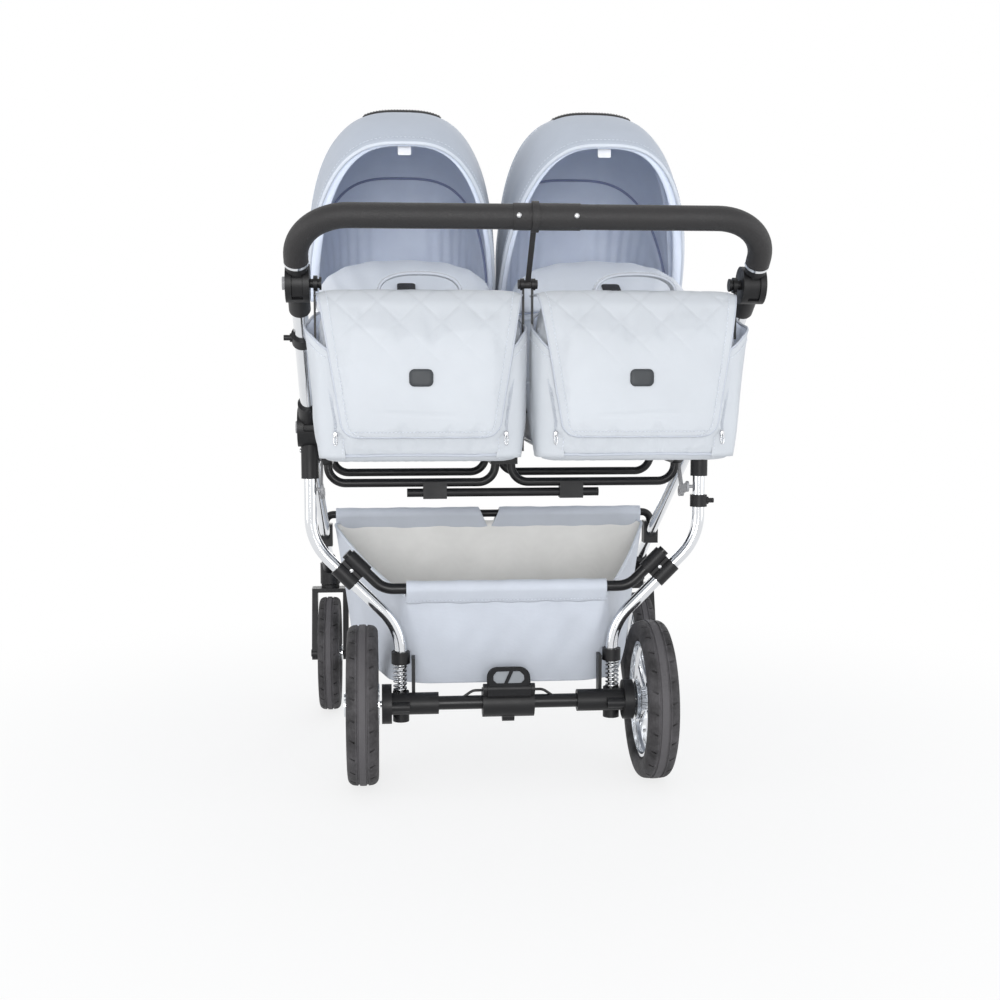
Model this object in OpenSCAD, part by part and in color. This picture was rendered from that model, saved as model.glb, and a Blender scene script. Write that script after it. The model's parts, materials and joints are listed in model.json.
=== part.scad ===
// Twin pram: two carrycots side by side on one folding chassis, with a pair of changing bags.
// Millimetres. +Z is up, +Y is the way the pram is pushed, the origin is on the ground
// under the middle of the pram.

/* [Stance] */
// Rear axle, measured from the middle of the pram
rear_axle_y = -108; // [-130:1:-90]
// Distance from the rear axle to the front axles
wheelbase = 545; // [535:1:560]
// Distance between the middles of the rear tyres
rear_track = 528; // [524:1:540]
// Distance between the middles of the front tyres
front_track = 688; // [676:1:696]

/* [Wheels] */
// Rear wheel diameter
rear_wheel_d = 290; // [280:1:296]
// Rear tyre width
rear_tyre_w = 56; // [46:1:58]
// Rear tyre height, bead to tread
rear_tyre_h = 36; // [28:1:40]
// Front wheel diameter
front_wheel_d = 248; // [236:1:252]
// Front tyre width
front_tyre_w = 46; // [38:1:48]
// Front tyre height, bead to tread
front_tyre_h = 32; // [26:1:36]
// Depth of the tread grooves
tread_depth = 2.5; // [1:0.5:4]
// Slanted tread cuts on each shoulder
tread_cuts = 24; // [12:2:32]
// Spoke pairs in a wheel
spoke_pairs = 6; // [4:1:7]
// Spoke thickness
spoke_d = 9; // [7:0.5:11]
// Distance a front wheel trails behind its swivel
trail = 48; // [40:1:54]

/* [Frame tubes] */
// Distance between the middles of the two fold hinges
frame_w = 710; // [706:1:716]
// Leg tube diameter
leg_d = 22; // [20:0.5:24]
// Handle tube diameter
tube_d = 25; // [23:0.5:26]
// Rear legs, measured ahead of the rear axle
leg_ahead = 24; // [24:0.5:28]
// Height of the rear leg's inner bend
leg_foot_z = 280; // [272:1:286]
// Radius of the rear leg's bends
leg_bend_r = 106; // [90:1:110]

/* [Fold hinges] */
// Height of the hinge pins
hinge_z = 648; // [640:1:656]
// Hinge housing diameter
hinge_d = 70; // [66:1:74]
// Hinge housing width
hinge_w = 40; // [36:1:42]
// Hinge pin diameter
hinge_pin_d = 12; // [10:0.5:14]

/* [Suspension] */
// Distance between the middles of the two springs
spring_gap = 390; // [386:1:396]
// Spring length at rest
spring_len = 51; // [46:1:54]
// Mean diameter of the spring's curls
spring_d = 25; // [23:0.5:26]
// Spring wire diameter
spring_wire = 3; // [2.5:0.1:3.4]
// Curls in one spring
spring_turns = 7; // [5:1:8]
// Guide rod diameter
guide_d = 14; // [12:0.5:15]

/* [Brake] */
// Width of the brake housing
brake_w = 94; // [88:1:100]
// Length of the pedal plate
pedal_len = 56; // [48:1:60]
// Lean of the pedal plate from upright
pedal_lean = 35; // [28:1:38]
// Brake pin diameter
brake_pin_d = 9; // [7:0.5:10]
// Distance of a brake pin from the axle's middle
brake_pin_r = 25; // [25:0.5:27]
// Brake cable diameter
cable_d = 5; // [4:0.5:6]

/* [Handle] */
// Distance of the handle's cross bar behind the rear axle
handle_back = 430; // [420:1:440]
// Height of the handle's cross bar
handle_z = 975; // [965:1:985]
// Distance between the middles of the two handle arms
handle_w = 700; // [696:1:704]
// Grip diameter
grip_d = 37; // [34:0.5:39]
// Radius of the handle's corners
handle_bend_r = 80; // [64:1:82]
// Knuckle axis, measured behind the rear axle
knuckle_back = 330; // [325:1:336]
// Knuckle axis height
knuckle_z = 883; // [878:1:888]
// Knuckle diameter
knuckle_d = 58; // [54:1:60]
// Knuckle width
knuckle_w = 36; // [34:1:38]

/* [Seat carriers] */
// Height of the cradle hoops
hoop_z = 540; // [536:1:544]
// Cradle hoop tube diameter
hoop_d = 16; // [14:0.5:17]
// Bend radius of the hoops
hoop_bend_r = 32; // [26:1:34]
// Rear hoops, measured ahead of the rear axle
hoop_rear = 100; // [92:1:106]
// Front hoops, measured ahead of the rear axle
hoop_front = 340; // [330:1:346]
// Tie bar length
tie_len = 360; // [352:1:372]

/* [Carrycots] */
// Space between the two carrycots
cot_gap = 38; // [36:0.5:42]
// Space from a carrycot's rim to the middle of the fold hinge
cot_side = 12; // [11:0.5:13]
// Carrycot length
cot_len = 760; // [744:1:766]
// Foot end, measured behind the rear axle
cot_back = 120; // [110:1:126]
// Draw-in of each side from the rim to the bottom
cot_taper = 37; // [36:0.5:40]
// Height of the rim
cot_rim_z = 850; // [844:1:856]
// Height of the underside
cot_base_z = 602; // [600:1:606]
// Wall thickness with its padding
cot_wall = 12; // [9:0.5:14]
// Height of the apron's raised edge above the rim
apron_h = 100; // [80:1:106]
// Length of the apron
apron_len = 285; // [270:1:290]
// Thickness of the apron
apron_t = 11; // [8:0.5:13]

/* [Hoods] */
// Hood pivot, measured ahead of the rear axle
hood_pivot = 282; // [278:1:286]
// Height of the top of the hood
hood_top_z = 1242; // [1230:1:1250]
// Distance that the hood's sides stand out from the rim
hood_over = 16; // [14:0.5:16.5]
// Lean of the front edge towards the handle
visor_lean = 40; // [30:1:44]
// Thickness of the padded fabric
hood_t = 6; // [4.5:0.5:7]

/* [Basket] */
// Height of the rear basket tube
basket_rear_z = 353; // [349:1:357]
// Height of the front basket tube
basket_front_z = 443; // [438:1:446]
// Rear basket tube diameter
basket_tube_d = 20; // [18:0.5:21]
// Half width of the basket at its rear top edge
basket_rear_w = 184; // [176:1:188]
// Half width of the basket at its front top edge
basket_front_w = 330; // [316:1:331]
// Front basket tube, measured ahead of the rear axle
basket_reach = 440; // [436:1:444]
// Half width of the basket floor at its rear edge
floor_rear_w = 150; // [144:1:154]
// Half width of the basket floor behind its rear corners
floor_mid_w = 214; // [206:1:216]
// Half width of the basket floor at its front edge
floor_front_w = 290; // [280:1:294]
// Rear edge of the basket floor, measured ahead of the rear axle
floor_rear = 56; // [52:1:60]
// Front edge of the basket floor, measured ahead of the rear axle
floor_front = 418; // [412:1:422]
// Height of the basket floor
basket_floor_z = 168; // [168:1:180]
// Thickness of the basket fabric
basket_t = 4; // [3:0.5:5]

/* [Bags] */
// Space from the middle of the pram to a bag
bag_gap = 7; // [5:0.5:20]
// Height of a bag
bag_h = 252; // [240:1:258]
// Depth of a bag
bag_depth = 104; // [92:1:108]
// Height of the carry loop
bag_loop_h = 30; // [26:1:32]

/* [Hidden] */
run = 0.06;
gap = 0.3;
lap = 0.4;
ya = rear_axle_y;
rz = rear_wheel_d / 2;
fz = front_wheel_d / 2;
rx = rear_track / 2;
fx = front_track / 2;
front_y = ya + wheelbase;
swivel_y = front_y + trail;
hx = frame_w / 2;
cot_rim_w = (hx - cot_side - cot_gap / 2) / 2;
cot_base_w = cot_rim_w - cot_taper;
cot_x = cot_gap / 2 + cot_rim_w;
hood_half_w = cot_rim_w + hood_over;
leg_y = ya + leg_ahead;
sx = spring_gap / 2;
leg_bend_z = leg_foot_z + hx - sx;
seat_z = rz + 18;
collar_z = seat_z + spring_len + 2 * gap;
collar_top = collar_z + 22;
crown_z = front_wheel_d + 6;
head_z = crown_z + 18;
head_h = 46;
kx = handle_w / 2;
ky = ya - knuckle_back;
kz = knuckle_z;
bar_y = ya - handle_back;
tube_a = atan2(kz - hinge_z, ky - leg_y);
arm_a = atan2(handle_z - kz, bar_y - ky);
arm_len = norm([bar_y - ky, handle_z - kz]);
hinge_at = [hx, leg_y, hinge_z];
head_at = [fx, swivel_y, head_z + head_h - 16];
leg_dir = unit(head_at - hinge_at);
slot = 16;
sleeve_x = 17;
rail_z = 575;
rail_h = 36;
sock_y = ya + 170;
sock_d = 60;
tongue_in = cot_base_w + 19;
tongue_out = tongue_in + 12;
cot_y0 = ya - cot_back;
cot_y1 = cot_y0 + cot_len;
hood_y = ya + hood_pivot;
hood_z = cot_rim_z + 12;
hood_r = hood_top_z - hood_z;
hub_x = 30;
bush_r = 6;
bolt_r = 5;
basket_y0 = leg_y;
basket_y1 = ya + basket_reach;
basket_bend_r = 18;
sleeve_r = 15;
bag_top = kz - 18;
hanger_w = 10;
hook_w = 6;
hook_share = 0.26;
hook_in = hanger_w / 2 + 0.5 + hook_w / 2;
hook_out = kx - knuckle_w / 2 - 8.5;
bag_x = (hook_in + hook_out) / 2;
bag_w = 2 * (bag_x - bag_gap);
bag_front = ky - bag_depth * 0.56;

// Piece to draw

function unit(v) = v / norm(v);
function mix(a, b, t) = a + (b - a) * t;
function spow(v, p) = sign(v) * pow(abs(v), p);
function smooth(t) = t * t * (3 - 2 * t);

// A straight round rod from p to q
module rod(p, q, d) {
    v = q - p;
    translate(p) rotate([0, acos(v.z / norm(v)), atan2(v.y, v.x)]) cylinder(h = norm(v), d = d, $fn = 64);
}

function turn(p, i) = acos(unit(p[i] - p[i - 1]) * unit(p[i + 1] - p[i]));
function trim(p, i, r) = i == 0 || i == len(p) - 1 ? 0 : r * tan(turn(p, i) / 2);

// One bend of a tube, at corner i of the path p
module elbow(p, i, r, d) {
    u = unit(p[i] - p[i - 1]);
    k = unit(cross(u, unit(p[i + 1] - p[i])));
    a = p[i] - u * trim(p, i, r);
    c = a + cross(k, u) * r;
    x = unit(a - c);
    z = cross(x, u);
    multmatrix([[x.x, u.x, z.x, c.x], [x.y, u.y, z.y, c.y], [x.z, u.z, z.z, c.z], [0, 0, 0, 1]])
        rotate_extrude(angle = turn(p, i), $fn = 96) translate([r, 0]) circle(d = d - lap / 20, $fn = 48);
}

// A tube that follows the corners p, bent to radius r at each; straights lap into the bends
module pipe(p, r, d) {
    for (i = [0 : len(p) - 2]) {
        u = unit(p[i + 1] - p[i]);
        a = max(0, trim(p, i, r) - lap);
        b = max(0, trim(p, i + 1, r) - lap);
        rod(p[i] + u * a, p[i + 1] - u * b, d);
    }
    for (i = [1 : len(p) - 2]) elbow(p, i, r, d);
}

// A cylinder along X, centred on p
module barrel(p, w, d) {
    translate(p) rotate([0, 90, 0]) cylinder(h = w, d = d, center = true, $fn = 64);
}

// A closed skin through rings of equal length, listed from the bottom up
module loft(rings, band = false) {
    n = len(rings[0]);
    m = len(rings);
    last = (m - 1) * n;
    sides = [
        for (i = [0 : m - 2], j = [0 : n - 1])
            let (a = i * n + j, b = i * n + (j + 1) % n, c = b + n, d = a + n) each [[a, d, c], [a, c, b]]
    ];
    strip = [
        for (j = [0 : n / 2 - 2])
            let (k = n - 1 - j) each [[j, j + 1, k - 1], [j, k - 1, k]]
    ];
    caps = band
        ? concat(strip, [for (f = strip) [last + f[2], last + f[1], last + f[0]]])
        : [[for (j = [0 : n - 1]) j], [for (j = [n - 1 : -1 : 0]) last + j]];
    polyhedron(points = [for (r = rings) each r], faces = concat(sides, caps), convexity = 6);
}

module both() {
    children();
    mirror([1, 0, 0]) children();
}

// Turns a child drawn towards +Y so that it points at angle a in the side view
module aim(p, a) {
    translate(p) rotate([a, 0, 0]) children();
}

// Front legs
module front_legs() {
    color("silver") both() rod(hinge_at + leg_dir * (hinge_d / 2 + 5), head_at - leg_dir * 14, leg_d);
}

// Rear legs, bent in to the springs, with the guide rods below
module rear_legs() {
    path = [
        [hx, leg_y, hinge_z - hinge_d / 2 - 6], [hx, leg_y, leg_bend_z],
        [sx, leg_y, leg_bend_z - hx + sx], [sx, leg_y, collar_z + 8]
    ];
    color("silver") both() {
        pipe(path, leg_bend_r, leg_d);
        rod([sx, leg_y, rz - 12], [sx, leg_y, collar_z + 8.5], guide_d);
    }
}

// Fold hinge housings with sleeves for both legs
module hinge_housings() {
    color("dimgray") both() difference() {
        union() {
            barrel(hinge_at, hinge_w, hinge_d);
            rod(hinge_at + leg_dir * 20, hinge_at + leg_dir * 78, leg_d + 9);
            rod(hinge_at - [0, 0, 20], hinge_at - [0, 0, 92], leg_d + 9);
        }
        difference() {
            union() {
                barrel(hinge_at, slot + 2 * gap, hinge_d - 9);
                aim(hinge_at, tube_a - 12)
                    translate([-slot / 2 - gap, 0, -29]) cube([slot + 2 * gap, 60, 58]);
            }
            barrel(hinge_at, slot + 4, hinge_pin_d);
        }
        rod(hinge_at + leg_dir * (hinge_d / 2 + 5), hinge_at + leg_dir * 90, leg_d + 2 * run);
        rod(hinge_at - [0, 0, hinge_d / 2 + 6], hinge_at - [0, 0, 100], leg_d + 2 * run);
        barrel(hinge_at + [hinge_w / 2, 0, 0], 15, 22 + 2 * run);
    }
}

// Swivel heads at the feet of the front legs
module fork_heads() {
    color("dimgray") both() difference() {
        union() {
            translate([fx, swivel_y, head_z]) cylinder(h = head_h, d = 44, $fn = 64);
            rod(head_at, head_at - leg_dir * 62, leg_d + 9);
        }
        translate([fx, swivel_y, head_z - 1]) cylinder(h = head_h - 7, d = 16 + 2 * run, $fn = 64);
        rod(head_at - leg_dir * 14, head_at - leg_dir * 70, leg_d + 2 * run);
    }
}

// Side rail that carries the outer ends of the cradle hoops and a carrycot socket
module seat_rail() {
    y1 = ya + hoop_front + 20;
    difference() {
        union() {
            barrel([hx - hinge_w / 2 - 9.1, leg_y, hinge_z], 18, 46);
            translate([hx - hinge_w / 2 - 18.1, 0, 0]) rotate([90, 0, 90]) linear_extrude(18)
                polygon([
                    [leg_y - 20, hinge_z - 8], [leg_y + 22, hinge_z + 4], [leg_y + 78, rail_z + rail_h],
                    [y1, rail_z + rail_h], [y1, rail_z], [leg_y + 60, rail_z], [leg_y + 20, rail_z + 14]
                ]);
            translate([cot_x + tongue_in - 6, sock_y - sock_d / 2, rail_z + 20]) cube([24, sock_d, 70]);
        }
        socket_slot();
        hoop_ends();
    }
}

// Hollow that takes a carrycot's tongue
module socket_slot() {
    translate([cot_x + tongue_in - gap, sock_y - 20 - gap, rail_z + 38])
        cube([tongue_out - tongue_in + 2 * gap, 40 + 2 * gap, 60]);
}

// Blind holes for the ends of the hoops
module hoop_ends() {
    for (y = [hoop_rear, hoop_front])
        translate([hx - hinge_w / 2 - 9.1, ya + y, rail_z - 1])
            cylinder(h = 16, d = hoop_d + 2 * run, $fn = 48);
}

// Middle rail with a socket for each carrycot
module centre_rail() {
    y0 = ya + hoop_rear - 22;
    difference() {
        union() {
            translate([-25, y0, rail_z]) cube([50, hoop_front - hoop_rear + 44, rail_h]);
            translate([tongue_out - cot_x - 18, sock_y - sock_d / 2, rail_z + 20])
                cube([2 * (cot_x - tongue_out + 18), sock_d, 70]);
        }
        both() translate([2 * cot_x, 0, 0]) mirror([1, 0, 0]) socket_slot();
        for (x = [-15, 15], y = [hoop_rear, hoop_front])
            translate([x, ya + y, rail_z - 1]) cylinder(h = 16, d = hoop_d + 2 * run, $fn = 48);
    }
}

// Two side rails and the middle rail that carry the carrycots
module seat_rails() {
    color("dimgray") {
        both() seat_rail();
        centre_rail();
    }
}

// Four hoops under the carrycots
module cradle_hoops() {
    x1 = hx - hinge_w / 2 - 9.1;
    z1 = rail_z + 13;
    color("dimgray") both() for (y = [ya + hoop_rear, ya + hoop_front])
        pipe([[x1, y, z1], [x1, y, hoop_z], [15, y, hoop_z], [15, y, z1]], hoop_bend_r, hoop_d);
}

// Tie bar under the rear hoops, with a saddle clamp to each
module tie_bar() {
    y = ya + hoop_rear;
    color("dimgray") {
        barrel([0, y, hoop_z - hoop_d - 3], tie_len, hoop_d);
        both() difference() {
            translate([106, y - 11, hoop_z - hoop_d - 14]) cube([44, 22, hoop_d + 16]);
            barrel([128, y, hoop_z], 60, hoop_d + 2 * run);
            barrel([128, y, hoop_z - hoop_d - 3], 60, hoop_d + 2 * run);
        }
    }
}

// One flat link between two pins
module link(p, q) {
    barrel(p, 4, 20);
    barrel(q, 4, 20);
    aim(p, atan2(q.z - p.z, q.y - p.y)) translate([-2, 0, -8]) cube([4, norm(q - p), 16]);
}

// Folded brace links between the two legs of a side
module leg_braces() {
    x = hx - leg_d / 2 - 6;
    a = hinge_at + leg_dir * 128;
    p = [x, a.y, a.z];
    q = [x, leg_y + 62, hinge_z - 126];
    r = [x - 4.4, leg_y, hinge_z - 112];
    color("gray") both() {
        link(p, q);
        link(q - [4.4, 0, 0], r);
        rod(q - [7, 0, 0], q + [4, 0, 0], 6);
        rod(p - [2.2, 0, 0], [a.x - leg_d / 2 - 0.1, p.y, p.z], 6);
        rod(r - [2.6, 0, 0], [hx - leg_d / 2 - 0.1, r.y, r.z], 6);
    }
}

// Middle of the front leg beside the front basket tube, and the height where the tube ends above it
function leg_at() = hinge_at + leg_dir * ((basket_y1 - leg_y) / leg_dir.y);
function tube_end() =
    leg_at().z + (leg_d / 2 - leg_dir.z * hoop_d / 2) / norm([leg_dir.x, leg_dir.y]) + 2;

// Arched tube that holds the basket's front edge, with its ends on the front legs
module front_basket_tube() {
    x1 = leg_at().x;
    z = basket_front_z;
    e = tube_end();
    p = [[-x1, basket_y1, e], [-x1, basket_y1, z], [x1, basket_y1, z], [x1, basket_y1, e]];
    color("dimgray") pipe(p, basket_bend_r, hoop_d);
}

// Line of the rear basket tube beside the leg's slope
function tube_corner() = basket_rear_z - (leg_bend_z - hx) - 42;

// Tube that holds the basket's rear edge, turned up beside the legs
module rear_basket_tube() {
    x0 = tube_corner();
    x1 = x0 + 66;
    p = [
        [-x1, leg_y, basket_rear_z + 66], [-x0, leg_y, basket_rear_z],
        [x0, leg_y, basket_rear_z], [x1, leg_y, basket_rear_z + 66]
    ];
    color("dimgray") pipe(p, 45, basket_tube_d);
}

// Double clamps between the rear legs and the basket tube, and saddles on the front legs
module basket_clamps() {
    x0 = tube_corner();
    c = [x0 + 46, leg_y, basket_rear_z + 46];
    u = unit([1, 0, 1]);
    n = unit([1, 0, -1]);
    s = 42 / sqrt(2);
    f = leg_at();
    e = tube_end();
    top = basket_front_z - basket_bend_r - 1;
    color("dimgray") both() {
        difference() {
            union() {
                rod(c - u * 22, c + u * 22, basket_tube_d + 8);
                rod(c + n * s - u * 22, c + n * s + u * 22, leg_d + 8);
                translate(c) rotate([0, -45, 0]) translate([-22, -8, -s]) cube([44, 16, s]);
            }
            rod(c - u * 60, c + u * 60, basket_tube_d + 2 * run);
            rod(c + n * s - u * 60, c + n * s + u * 60, leg_d + 2 * run);
        }
        difference() {
            translate([f.x - 15, basket_y1 - 14, f.z - 18]) cube([30, 28, top - f.z + 18]);
            rod([f.x, basket_y1, e - gap], [f.x, basket_y1, basket_front_z], hoop_d + 2 * run);
            rod(f - leg_dir * 90, f + leg_dir * 90, leg_d + 2 * run);
        }
    }
}

// Fabric sleeves sewn round the two basket tubes
module basket_sleeves() {
    x1 = leg_at().x - basket_bend_r - 4;
    difference() {
        barrel([0, leg_y, basket_rear_z], 2 * basket_rear_w, 2 * sleeve_r);
        barrel([0, leg_y, basket_rear_z], 2 * basket_rear_w + 2, basket_tube_d + 2 * gap);
    }
    both() difference() {
        barrel([x1 / 2 + 12, basket_y1, basket_front_z], x1 - 24, 2 * sleeve_r);
        barrel([x1 / 2 + 12, basket_y1, basket_front_z], x1, hoop_d + 2 * gap);
    }
}

function basket_top(v) = mix(basket_rear_z, basket_front_z, v) - sleeve_r - gap;

// Right half of the basket's outline at height share h, drawn in by t, from the rear edge to the front
function basket_half(h, t) =
    let (y0 = mix(ya + floor_rear, basket_y0, h) + t, y1 = mix(ya + floor_front, basket_y1, h) - t)
    let (a = [mix(floor_rear_w, basket_rear_w, h) - t, y0])
    let (b = [mix(floor_mid_w, basket_rear_w + 6, h) - t, y0 + mix(32, 14, h)])
    let (c = [mix(floor_front_w, basket_front_w, h) - t, y1])
    concat(
        [a, mix(a, b, 0.5) + [3, -2]],
        [for (i = [0 : 4]) mix(b, c - [0, 16], i / 4) + [4 * sin(45 * i), 0]],
        [c - [4, 4], c - [16, 0]]
    );

// Outline of the basket at height share h, drawn in by t
function basket_ring(h, t) =
    let (half = basket_half(h, t), n = len(half) - 1)
    [for (p = concat(half, [for (i = [n : -1 : 0]) [-half[i].x, half[i].y]]))
        let (v = (p.y - half[0].y) / (half[n].y - half[0].y))
        [p.x, p.y, mix(basket_floor_z + t, basket_top(v), h)]];

// Open fabric basket
module basket() {
    out = [for (h = [0, 0.08, 0.35, 0.7, 1]) basket_ring(h, h == 0 ? 6 : 0)];
    in = [for (h = [1, 0.7, 0.35, 0.08]) basket_ring(h, basket_t)];
    floor = [for (p = basket_ring(0, 8)) [p.x, p.y, basket_floor_z + 2 + basket_t]];
    base = [for (p = out[0]) [p.x, p.y, basket_floor_z]];
    color("lightsteelblue") {
        loft(concat([base], [for (i = [1 : 4]) out[i]], in, [floor]));
        basket_sleeves();
    }
}

// Collars above the springs
module spring_collars() {
    color("dimgray") both() difference() {
        translate([sx, leg_y, collar_z]) cylinder(h = 22, d = leg_d + 12, $fn = 64);
        translate([sx, leg_y, collar_z + 8]) cylinder(h = 30, d = leg_d + 2 * run, $fn = 64);
        translate([sx, leg_y, collar_z - 1]) cylinder(h = 20, d = guide_d + 2 * run, $fn = 64);
    }
}

// Ring with an outward stud that takes a cup holder
module stud_ring(d) {
    difference() {
        cylinder(h = 22, d = d + 9, center = true, $fn = 64);
        cylinder(h = 24, d = d + 2 * run, center = true, $fn = 64);
    }
    barrel([d / 2 + 4.5, 0, 0], 5, 14);
    barrel([d / 2 + 11.5, 0, 0], 11, 9);
}

module leg_accessory_clamp() {
    color("dimgray") translate([hx, leg_y, hinge_z - 138]) stud_ring(leg_d);
}

module handle_accessory_clamp() {
    c = mix([-hx, leg_y, hinge_z], [-kx, ky, kz], 0.66);
    color("dimgray") translate(c) rotate([tube_a - 90, 0, 0]) mirror([1, 0, 0]) stud_ring(tube_d);
}

// Steel rod that carries both rear wheels
module rear_axle_rod() {
    color("silver") barrel([0, ya, rz], 2 * (rx + 24), 2 * bush_r);
}

// Tube round the middle of the axle
module rear_axle_tube() {
    color("dimgray") difference() {
        barrel([0, ya, rz], 2 * (sx - 40), 25);
        barrel([0, ya, rz], 2 * sx, 2 * bush_r + 2 * run);
    }
}

// Axle end castings: spring seat, guide bore, brake flange and pin boss
module axle_brackets() {
    color("dimgray") both() difference() {
        union() {
            rod([sx - 68, ya, rz], [rx - 50, ya, rz], 40);
            barrel([rx - 43, ya, rz], 18, 72);
            barrel([rx - 59, ya - brake_pin_r, rz], 50, brake_pin_d + 9);
            translate([sx, leg_y, rz - 38]) cylinder(h = 56, d = guide_d + 16, $fn = 64);
            translate([sx - 26, leg_y - 14, rz - 10]) cube([6, 28, spring_len + 40]);
            translate([sx - 15, ya, rz - 14]) cube([30, leg_ahead, 28]);
        }
        barrel([sx, ya, rz], 200, 2 * bush_r + 2 * run);
        barrel([sx - 90, ya, rz], 102, 25 + 2 * run);
        barrel([sx, ya - brake_pin_r, rz], 200, brake_pin_d + 2 * run);
        translate([sx, leg_y, rz - 60]) cylinder(h = 120, d = guide_d + 2 * run, $fn = 64);
    }
}

// Path of a spring's wire: straight ends, then the curls
function coil_path() =
    let (r = spring_d / 2, w = spring_wire, n = 8 * spring_turns, h = spring_len - 4 * w)
    concat(
        [[r, 0, 0], [r, 0, w]],
        [for (i = [0 : n]) [r * cos(45 * i + 30), r * sin(45 * i + 30), 2 * w + h * i / n]],
        [for (k = [1, 0]) [r * cos(60 + 45 * n), r * sin(60 + 45 * n), spring_len - k * w]]
    );

// Ring of six points round the wire at step i of the path
function wire_ring(p, i, r) =
    let (t = unit(p[min(i + 1, len(p) - 1)] - p[max(i - 1, 0)]))
    let (o = unit([p[i].x, p[i].y, 0] - t * (t * [p[i].x, p[i].y, 0])), k = cross(t, o))
    [for (a = [0 : 60 : 300]) p[i] + r * (cos(a) * o + sin(a) * k)];

coil = coil_path();
coil_gap = min([
    for (i = [0 : len(coil) - 9], j = [i + 8 : len(coil) - 1]) norm(coil[i] - coil[j]) - spring_wire
]);
echo(least_gap_between_curls = coil_gap);

module spring() {
    translate([sx, leg_y, seat_z + gap])
        loft([for (i = [0 : len(coil) - 1]) wire_ring(coil, i, spring_wire / 2)]);
}

module rear_springs() {
    color("silver") {
        spring();
        translate([-2 * sx, 0, 0]) spring();
    }
}

// Brake housing clamped round the axle tube, with ears for the pedal
module brake_housing() {
    p = [0, ya - 22, rz + 30];
    color("dimgray") difference() {
        union() {
            barrel([0, ya, rz], brake_w, 54);
            for (s = [-1, 1]) {
                barrel([s * (brake_w / 2 - 3.5), p.y, p.z], 7, 18);
                translate([s * (brake_w / 2 - 3.5), p.y, p.z]) rotate([-54, 0, 0])
                    translate([-3.5, 0, -9]) cube([7, 26, 18]);
            }
            barrel(p, brake_w, 8);
            barrel([0, ya - 4, rz - 25], 22, 20);
        }
        barrel([0, ya, rz], brake_w + 4, 25 + 2 * run);
    }
}

// Cables from the brake housing into the axle tube
module brake_cables() {
    x = brake_w / 2 + gap;
    p = [[x, ya, rz + 22], [x + 17, ya, rz + 22], [x + 28 + 8, ya, rz + 9]];
    color("dimgray") both() pipe(p, 20, cable_d);
}

// Places a child in the pedal's own plane: X across, Y up the plate, Z out of it
module on_pedal() {
    translate([0, ya - 22, rz + 30]) rotate([90 - pedal_lean, 0, 0]) children();
}

// Pedal plate with rounded top corners
module pedal_plate(w, len, t) {
    translate([-w / 2, -16, 0]) cube([w, len - 20, t]);
    translate([-w / 2 + 20, 0, 0]) cube([w - 40, len - 16, t]);
    for (s = [-1, 1]) translate([s * (w / 2 - 20), len - 36, 0]) cylinder(h = t, r = 20, $fn = 64);
}

module pad_outline(t) {
    polygon([[-33 - t, 6 - t], [-8 + t, 6 - t], [4 + t, 30 + t], [-24 - t, 30 + t], [-33 - t, 20]]);
}

// Foot pedal on its pin
module brake_pedal() {
    w = brake_w - 15;
    color("dimgray") on_pedal() difference() {
        union() {
            translate([0, 0, -4]) pedal_plate(w, pedal_len, 9);
            barrel([0, 0, 0], w, 16);
        }
        barrel([0, 0, 0], w + 2, 8 + 2 * run);
        translate([0, 0, 3.5]) linear_extrude(4) pad_outline(0.1);
        translate([0, 36, 3.5]) rotate([0, 0, 180]) linear_extrude(4) pad_outline(0.1);
    }
}

// Grey tread pads let into the pedal
module pedal_pads() {
    color("gray") on_pedal() {
        translate([0, 0, 3.5]) linear_extrude(3) pad_outline(0);
        translate([0, 36, 3.5]) rotate([0, 0, 180]) linear_extrude(3) pad_outline(0);
    }
}

module brake_pin() {
    barrel([rx - 56, ya - brake_pin_r, rz], 42, brake_pin_d);
}

module left_brake_pin() {
    color("silver") mirror([1, 0, 0]) brake_pin();
}

module right_brake_pin() {
    color("silver") brake_pin();
}

// Half of a tyre's section, as [radius, offset], from the tread's middle to the bead
function tyre_half(r, w, h) = let (c = h * 0.52, g = r - tread_depth) concat(
    [[r, 0], [r - 0.2, w * 0.1], [g, w * 0.115], [g, w * 0.16], [r - 0.6, w * 0.175]],
    [for (a = [62 : -12 : -58]) [r - c + c * spow(sin(a), 0.72), w / 2 * spow(cos(a), 0.62)]],
    [[r - h, w * 0.3]]
);

// Tyre round the X axis at the origin
module tyre(d, w, h) {
    half = tyre_half(d / 2, w, h);
    n = len(half);
    back = [for (i = [n - 1 : -1 : 1]) [half[i].x, -half[i].y]];
    rotate([0, 90, 0]) difference() {
        rotate_extrude($fn = 128) polygon(concat(half, back));
        for (i = [0 : tread_cuts - 1], s = [-1, 1])
            rotate([0, 0, (i + s / 4) * 360 / tread_cuts]) translate([d / 2 + 2, 0, s * w * 0.36])
                rotate([s * 28, 0, 0]) cube([8 + 2 * tread_depth, 3.2, w * 0.3], center = true);
    }
}

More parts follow.
